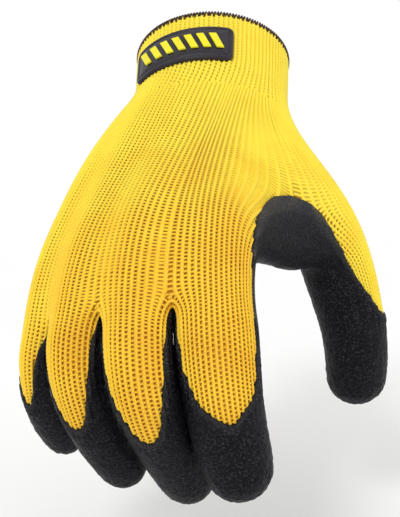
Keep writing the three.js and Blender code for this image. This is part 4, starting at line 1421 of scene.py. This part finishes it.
@dataclass
class DippedFilm:
    """The latex film: smooth over the palm and tips, thin and ribbed by the yarn at its edge."""

    skin: FineSkin
    lift: float = 0.95
    edge_lift: float = 0.7
    edge_reach: float = 9.0
    tuck: float = -0.9
    rib_reach: float = 24.0
    rib_start: float = 2.0
    rib_height: float = 0.65
    rib_place: float = 0.25
    rib_width: float = 0.12
    crinkle: float = 0.3
    crinkle_size: float = 1.9
    crinkle_reach: tuple[float, float] = (3, 20)
    gloss_reach: float = 20.0

    def heights(self) -> Array:
        """Height of the film over each fine point, in mm.

        Returns:
            The heights.
        """
        skin = self.skin
        n = skin.CELLS
        column = np.zeros(len(skin.points))
        column[skin.grid] = np.broadcast_to(np.arange(n + 1) / n, skin.grid.shape)
        ridge = np.exp(-(((np.abs(column - 0.5) - self.rib_place) / self.rib_width) ** 2))
        film = skin.film
        height = mix(self.edge_lift, self.lift, ease(film, 0, self.edge_reach))
        ribbed = 1 - ease(film, self.rib_start, self.rib_reach)
        height = height + self.rib_height * ridge * ribbed
        crinkles = np.array([noise.fractal(Vector(p / self.crinkle_size), 1.0, 2.0, 3)
                             for p in skin.points])
        return height + self.crinkle * crinkles * ease(film, *self.crinkle_reach)

    def build(self, finish: bpy.types.Material) -> None:
        """Clips the fine skin at the film's edge and builds the film with a tucked-in rim.

        Args:
            finish: The piece's material.
        """
        skin = self.skin
        film, grid = skin.film, skin.grid
        quads = np.stack([grid[:, :-1, :-1], grid[:, :-1, 1:], grid[:, 1:, 1:], grid[:, 1:, :-1]], -1)
        quads = quads.reshape(-1, 4)
        inside = (film[quads] > 0).sum(axis=1)
        shell = skin.points + skin.normals * self.heights()[:, None]
        low = skin.points + skin.normals * self.tuck
        points = list(shell)
        edges = list(ease(film, 0, self.gloss_reach))
        cuts: dict[tuple[int, int], int] = {}
        tucked: dict[int, int] = {}
        faces = [tuple(quad) for quad in quads[inside == 4]]

        def cut(a: int, b: int) -> int:
            """Finds or adds the point where the film's edge crosses the line between two points.

            Args:
                a: Number of one fine point.
                b: Number of the other one, on the other side of the edge.

            Returns:
                The number of the point on the edge.
            """
            key = (min(a, b), max(a, b))
            if key not in cuts:
                share = film[key[0]] / (film[key[0]] - film[key[1]])
                cuts[key] = len(points)
                points.append(mix(shell[key[0]], shell[key[1]], share))
                edges.append(0.0)
                tucked[cuts[key]] = len(points)
                points.append(mix(low[key[0]], low[key[1]], share))
                edges.append(0.0)
            return cuts[key]

        for quad in quads[(inside > 0) & (inside < 4)]:
            for triangle in ((quad[0], quad[1], quad[2]), (quad[0], quad[2], quad[3])):
                loop, rim = [], []
                for a, b in zip(triangle, (*triangle[1:], triangle[0])):
                    if film[a] > 0:
                        loop.append(a)
                    if (film[a] > 0) != (film[b] > 0):
                        loop.append(cut(a, b))
                        rim.append((loop[-1], film[a] > 0))
                if len(loop) > 2:
                    faces.append(tuple(loop))
                if len(rim) == 2:
                    leaving, entering = (rim[0][0], rim[1][0]) if rim[0][1] else (rim[1][0], rim[0][0])
                    faces.append((entering, leaving, tucked[leaving], tucked[entering]))
        used = np.unique(np.concatenate([np.array(face) for face in faces]))
        place = {int(k): i for i, k in enumerate(used)}
        faces = [[place[int(k)] for k in face] for face in faces]
        obj = new_object("latex_film", np.array(points)[used] * MM, faces)
        layer = obj.data.attributes.new("edge", "FLOAT", "POINT")
        layer.data.foreach_set("value", np.array(edges)[used].astype(np.float32))
        dress(obj, Slot.LATEX, finish)
        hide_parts("latex_coat")
        LOG.info("latex_film: %d faces", len(faces))


@dataclass
class CuffOval:
    """The outside of the cuff, to place what sits on it."""

    cage: GloveCage

    def point(self, angle: Array, along: Array, height: Array) -> Array:
        """Points on the cuff: angles from its back, ways from the hem and heights, in mm.

        Args:
            angle: Angles, in radians.
            along: Ways from the hem.
            height: Heights off the cuff's outside.

        Returns:
            The points, in the shape of the three.
        """
        cage = self.cage
        angle, along, height = np.broadcast_arrays(angle, along, height)
        share = along / cage.cuff_length
        half = [mix(cage.hem[k], cage.wrist_size[k], share) / 2 for k in (0, 1)]
        x, y = half[0] * np.sin(angle), half[1] * np.cos(angle)
        out = (x / half[0] ** 2)[..., None] * cage.across + (y / half[1] ** 2)[..., None] * cage.rise
        middle = along[..., None] * cage.cuff_way
        return (middle + x[..., None] * cage.across + y[..., None] * cage.rise
                + unit(out) * height[..., None])

    def angle_at(self, start: float, arc: Array, steps: int = 40) -> Array:
        """Angles at arc lengths from a start angle.

        Args:
            start: The start angle, in radians.
            arc: Arc lengths, in mm.
            steps: Steps that the way is walked in.

        Returns:
            The angles, in radians.
        """
        angle = np.full(np.shape(arc), start, float)
        for _ in range(steps):
            speed = np.hypot(self.cage.hem[0] / 2 * np.cos(angle), self.cage.hem[1] / 2 * np.sin(angle))
            angle = angle + np.asarray(arc) / steps / speed
        return angle


@dataclass
class OverlockHem:
    """Thread wrapped over the cut edge of the cuff, each wrap slanted over its neighbour."""

    oval: CuffOval
    wraps: int = 160
    slant: float = 1.3
    sides: int = 6
    half: float = 0.46
    along: tuple[float, ...] = (1.5, 1.1, 0.2, -0.8, -1.3, -1.0, -0.1, 1.1)
    height: tuple[float, ...] = (0.1, 0.72, 0.9, 0.55, -0.5, -1.8, -2.5, -2.4)
    core_columns: int = 112
    core_section: tuple[tuple[float, float], ...] = (
        (1.2, 0.3), (-0.4, 0.5), (-0.8, -0.5), (-0.6, -1.8), (1.0, -2.1), (1.0, -0.8))

    def build(self, finish: bpy.types.Material) -> None:
        """Builds the wraps round the edge and the cord that they cover.

        Args:
            finish: The piece's material.
        """
        along, height = np.array(self.along), np.array(self.height)
        rings = len(along)
        pitch = 2 * np.pi / self.wraps
        start = np.arange(self.wraps) * pitch
        angle = start[:, None] + np.linspace(0, self.slant * pitch, rings)
        middle = self.oval.point(angle, along, height)
        tangent = np.gradient(middle, axis=1)
        level = unit(self.oval.point(angle + 0.01, along, height) - middle)
        up = unit(np.cross(tangent, level))
        level = unit(np.cross(up, tangent))
        turn = 2 * np.pi * np.arange(self.sides) / self.sides
        ring = level[:, :, None] * np.cos(turn)[:, None] + up[:, :, None] * np.sin(turn)[:, None]
        points = (middle[:, :, None] + ring * self.half).reshape(-1, 3)
        starts = np.arange(self.wraps) * rings * self.sides
        faces = tube_faces(rings, self.sides)[None] + starts[:, None, None]
        core, core_faces = self.core(len(points))
        obj = new_object("overlock_thread", np.concatenate([points, core]) * MM,
                         [*faces.reshape(-1, 4), *core_faces])
        dress(obj, Slot.HEM_THREAD, finish)
        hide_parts("hem_overlock")
        LOG.info("overlock_thread: %d faces", len(obj.data.polygons))

    def core(self, start: int) -> tuple[Array, Array]:
        """The closed rim under the wraps: its points and faces, numbered from start.

        Args:
            start: Number of its first point.

        Returns:
            The points in mm and the faces.
        """
        section, columns = self.core_section, self.core_columns
        angle = 2 * np.pi * np.arange(columns) / columns
        rows = np.array([self.oval.point(angle, np.array(along), np.array(height))
                         for along, height in section])
        k, i = np.meshgrid(np.arange(len(section)), np.arange(columns), indexing="ij")
        on, j = (k + 1) % len(section), (i + 1) % columns
        faces = np.stack([k * columns + i, on * columns + i, on * columns + j, k * columns + j], -1)
        return rows.reshape(-1, 3), faces.reshape(-1, 4) + start


@dataclass
class CuffBadge:
    """The moulded badge on the cuff: bevelled edge, raised border and a flat field for the bars."""

    oval: CuffOval
    length: float = 45.5
    height: float = 21
    low: float = 0.05
    top: float = 2.3
    corner: float = 3.0
    turn: float = -24
    middle: float = 22
    border: tuple[tuple[float, float], ...] = (
        (0.0, 0.0), (0.0, 0.72), (0.18, 0.9), (0.5, 1.0), (1.5, 1.02), (1.75, 0.92), (1.95, 0.8),
        (2.2, 0.9), (2.5, 1.0))
    field_rows: tuple[float, ...] = (0.66, 0.33, 0.0)
    columns: int = 26
    rows: int = 8
    weld: float = 0.02

    def outline(self, inset: float, steps: int = 7) -> Array:
        """Points of the rounded outline at an inset, as arc length and way along the cuff.

        Args:
            inset: How far inside the badge's edge, in mm.
            steps: Points of each corner.

        Returns:
            The points, in order.
        """
        half = np.array([self.length / 2 - inset, self.height / 2 - inset])
        radius = max(self.corner - inset, 0.5)
        points = []
        for k, (sx, sy) in enumerate(((1, 1), (-1, 1), (-1, -1), (1, -1))):
            turn = np.linspace(k * np.pi / 2, (k + 1) * np.pi / 2, steps)
            centre = (half - radius) * (sx, sy)
            points.append(centre + radius * np.stack([np.cos(turn), np.sin(turn)], axis=1))
        corners = np.concatenate(points)
        made = []
        for a, b in zip(corners, np.roll(corners, -1, axis=0)):
            gap = np.linalg.norm(b - a)
            count = self.columns if gap > self.length / 2 else self.rows if gap > self.height / 2 else 1
            made += [mix(a, b, t / count) for t in range(count)]
        return np.array(made)

    def build(self, finish: bpy.types.Material) -> None:
        """Builds the badge as loops from its foot to its field, and a fan of rows over the field.

        Args:
            finish: The piece's material.
        """
        loops = [self.outline(inset) for inset, _ in self.border]
        levels = [mix(self.low, self.top, share) for _, share in self.border]
        last = loops[-1]
        reach = self.length / 2 - self.height / 2
        middle = np.stack([np.clip(last[:, 0], -reach, reach), np.zeros(len(last))], axis=1)
        for share in self.field_rows:
            loops.append(mix(middle, last, share))
            levels.append(levels[-1])
        points = [self.place(loop, level) for loop, level in zip(loops, levels)]
        faces = tube_faces(len(loops), len(last))[:, ::-1].tolist()
        obj = new_object("moulded_badge", np.concatenate(points) * MM, faces)
        weld = obj.modifiers.new("weld", "WELD")
        weld.merge_threshold = self.weld * MM
        dress(obj, Slot.BADGE_RUBBER, finish)
        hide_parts("wrist_badge")
        LOG.info("moulded_badge: %d faces", len(faces))

    def place(self, flat: Array, level: float) -> Array:
        """Bends flat points of the badge round the cuff at a height."""
        angle = self.oval.angle_at(rad(self.turn), flat[:, 0])
        return self.oval.point(angle, self.middle + flat[:, 1], np.full(len(flat), level))


@dataclass(frozen=True)
class SoftLight:
    """A wide soft light that shines the same way over the whole stage."""

    name: str
    place: tuple[float, float, float]
    strength: float
    spread: float

    def build(self) -> None:
        """Adds the light, turned from its place towards the middle of the stage."""
        data = bpy.data.lights.new(self.name, "SUN")
        data.energy, data.angle = self.strength, rad(self.spread)
        obj = bpy.data.objects.new(self.name, data)
        obj.location = self.place
        obj.rotation_euler = (-Vector(self.place)).to_track_quat("-Z", "Y").to_euler()
        bpy.context.scene.collection.objects.link(obj)


@dataclass
class Studio:
    """A pale floor, soft lights and the photograph's camera."""

    camera_place: tuple[float, float, float] = (-0.0059, -0.4861, 0.0119)
    camera_drop: float = 12.0
    lens: float = 73.1
    floor_level: float = -0.2
    floor_half: float = 14.0
    sky: float = 0.88
    horizon: float = 1.0
    horizon_band: tuple[float, float] = (0.12, 0.4)
    lights: tuple[SoftLight, ...] = (
        SoftLight("key", (-0.35, -0.7, 0.75), 0.95, 16),
        SoftLight("side", (0.85, -0.5, 0.1), 0.4, 6),
    )

    def backdrop(self) -> bpy.types.World:
        """Makes the white surround, a little brighter near the horizon than above.

        Returns:
            The world, whose strength falls from horizon to sky with height.
        """
        world = bpy.data.worlds.new("studio")
        world.use_nodes = True
        nodes, links = world.node_tree.nodes, world.node_tree.links
        where = nodes.new("ShaderNodeTexCoord")
        split = nodes.new("ShaderNodeSeparateXYZ")
        fade = nodes.new("ShaderNodeMapRange")
        links.new(where.outputs["Generated"], split.inputs["Vector"])
        links.new(split.outputs["Z"], fade.inputs["Value"])
        values = (*self.horizon_band, self.horizon, self.sky)
        for name, value in zip(("From Min", "From Max", "To Min", "To Max"), values):
            fade.inputs[name].default_value = value
        surround = nodes["Background"]
        surround.inputs["Color"].default_value = (1, 1, 1, 1)
        links.new(fade.outputs["Result"], surround.inputs["Strength"])
        return world

    def build(self) -> None:
        """Builds the stage and the camera."""
        scene = bpy.context.scene
        scene.view_settings.view_transform = "Standard"
        data = bpy.data.cameras.new("camera")
        data.lens, data.sensor_width = self.lens, 36
        camera = bpy.data.objects.new("camera", data)
        camera.location = self.camera_place
        camera.rotation_euler = (rad(90 - self.camera_drop), 0, 0)
        scene.collection.objects.link(camera)
        scene.camera = camera
        scene.world = self.backdrop()
        for light in self.lights:
            light.build()
        half, level = self.floor_half, self.floor_level
        corners = [(x, y, level) for x, y in ((-half, -half), (half, -half), (half, half),
                                              (-half, half))]
        floor = new_object("floor", np.array(corners), [(0, 1, 2, 3)])
        kit = NodeKit("pale floor")
        tint = kit.blend(kit.span(kit.noise(3, 2), 0.4, 0.6, 0, 1), (0.9, 0.9, 0.9),
                         (0.92, 0.92, 0.92))
        kit.set(Base_Color=tint, Roughness=0.9)
        floor.data.materials.append(kit.material)


def paint_bars(finish: bpy.types.Material) -> None:
    """Gives the badge's moulded bars, which keep their solids' shape, their material.

    Args:
        finish: The bars' material.
    """
    for obj in bpy.data.objects:
        if obj.name.startswith("badge_bar_"):
            obj.data.materials.clear()
            obj.data.materials.append(finish)


def main() -> None:
    """Builds the stage and every piece of the glove."""
    logging.basicConfig(level=logging.INFO, format="%(message)s")
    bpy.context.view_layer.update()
    Studio().build()
    cage = GloveCage()
    skin = FineSkin(cage)
    LOG.info("skin: %d faces, %d fine points", len(cage.faces), len(skin.points))
    yarn = YarnFinish().material()
    # The deep yarn's darker orange is painted shade in the holes of the knit.
    outer = InsideFinish((0.92, 0.52, 0.025), (0.80, 0.36, 0.015), "deep yarn").material()
    inner = InsideFinish((0.80, 0.48, 0.03), (0.62, 0.33, 0.015), "knit inside").material()
    KnitWall(skin).build(outer, inner)
    KnitYarn(skin).build(yarn)
    DippedFilm(skin).build(LatexFinish().material())
    oval = CuffOval(cage)
    OverlockHem(oval).build(ThreadFinish().material())
    rubber = MouldedFinish("badge rubber", (0.014, 0.012, 0.018), (0.024, 0.021, 0.029), 0.4)
    CuffBadge(oval).build(rubber.material())
    paint_bars(MouldedFinish("badge bars", (0.78, 0.7, 0.012), (0.84, 0.76, 0.02), 0.45).material())


if __name__ == "__main__":
    main()
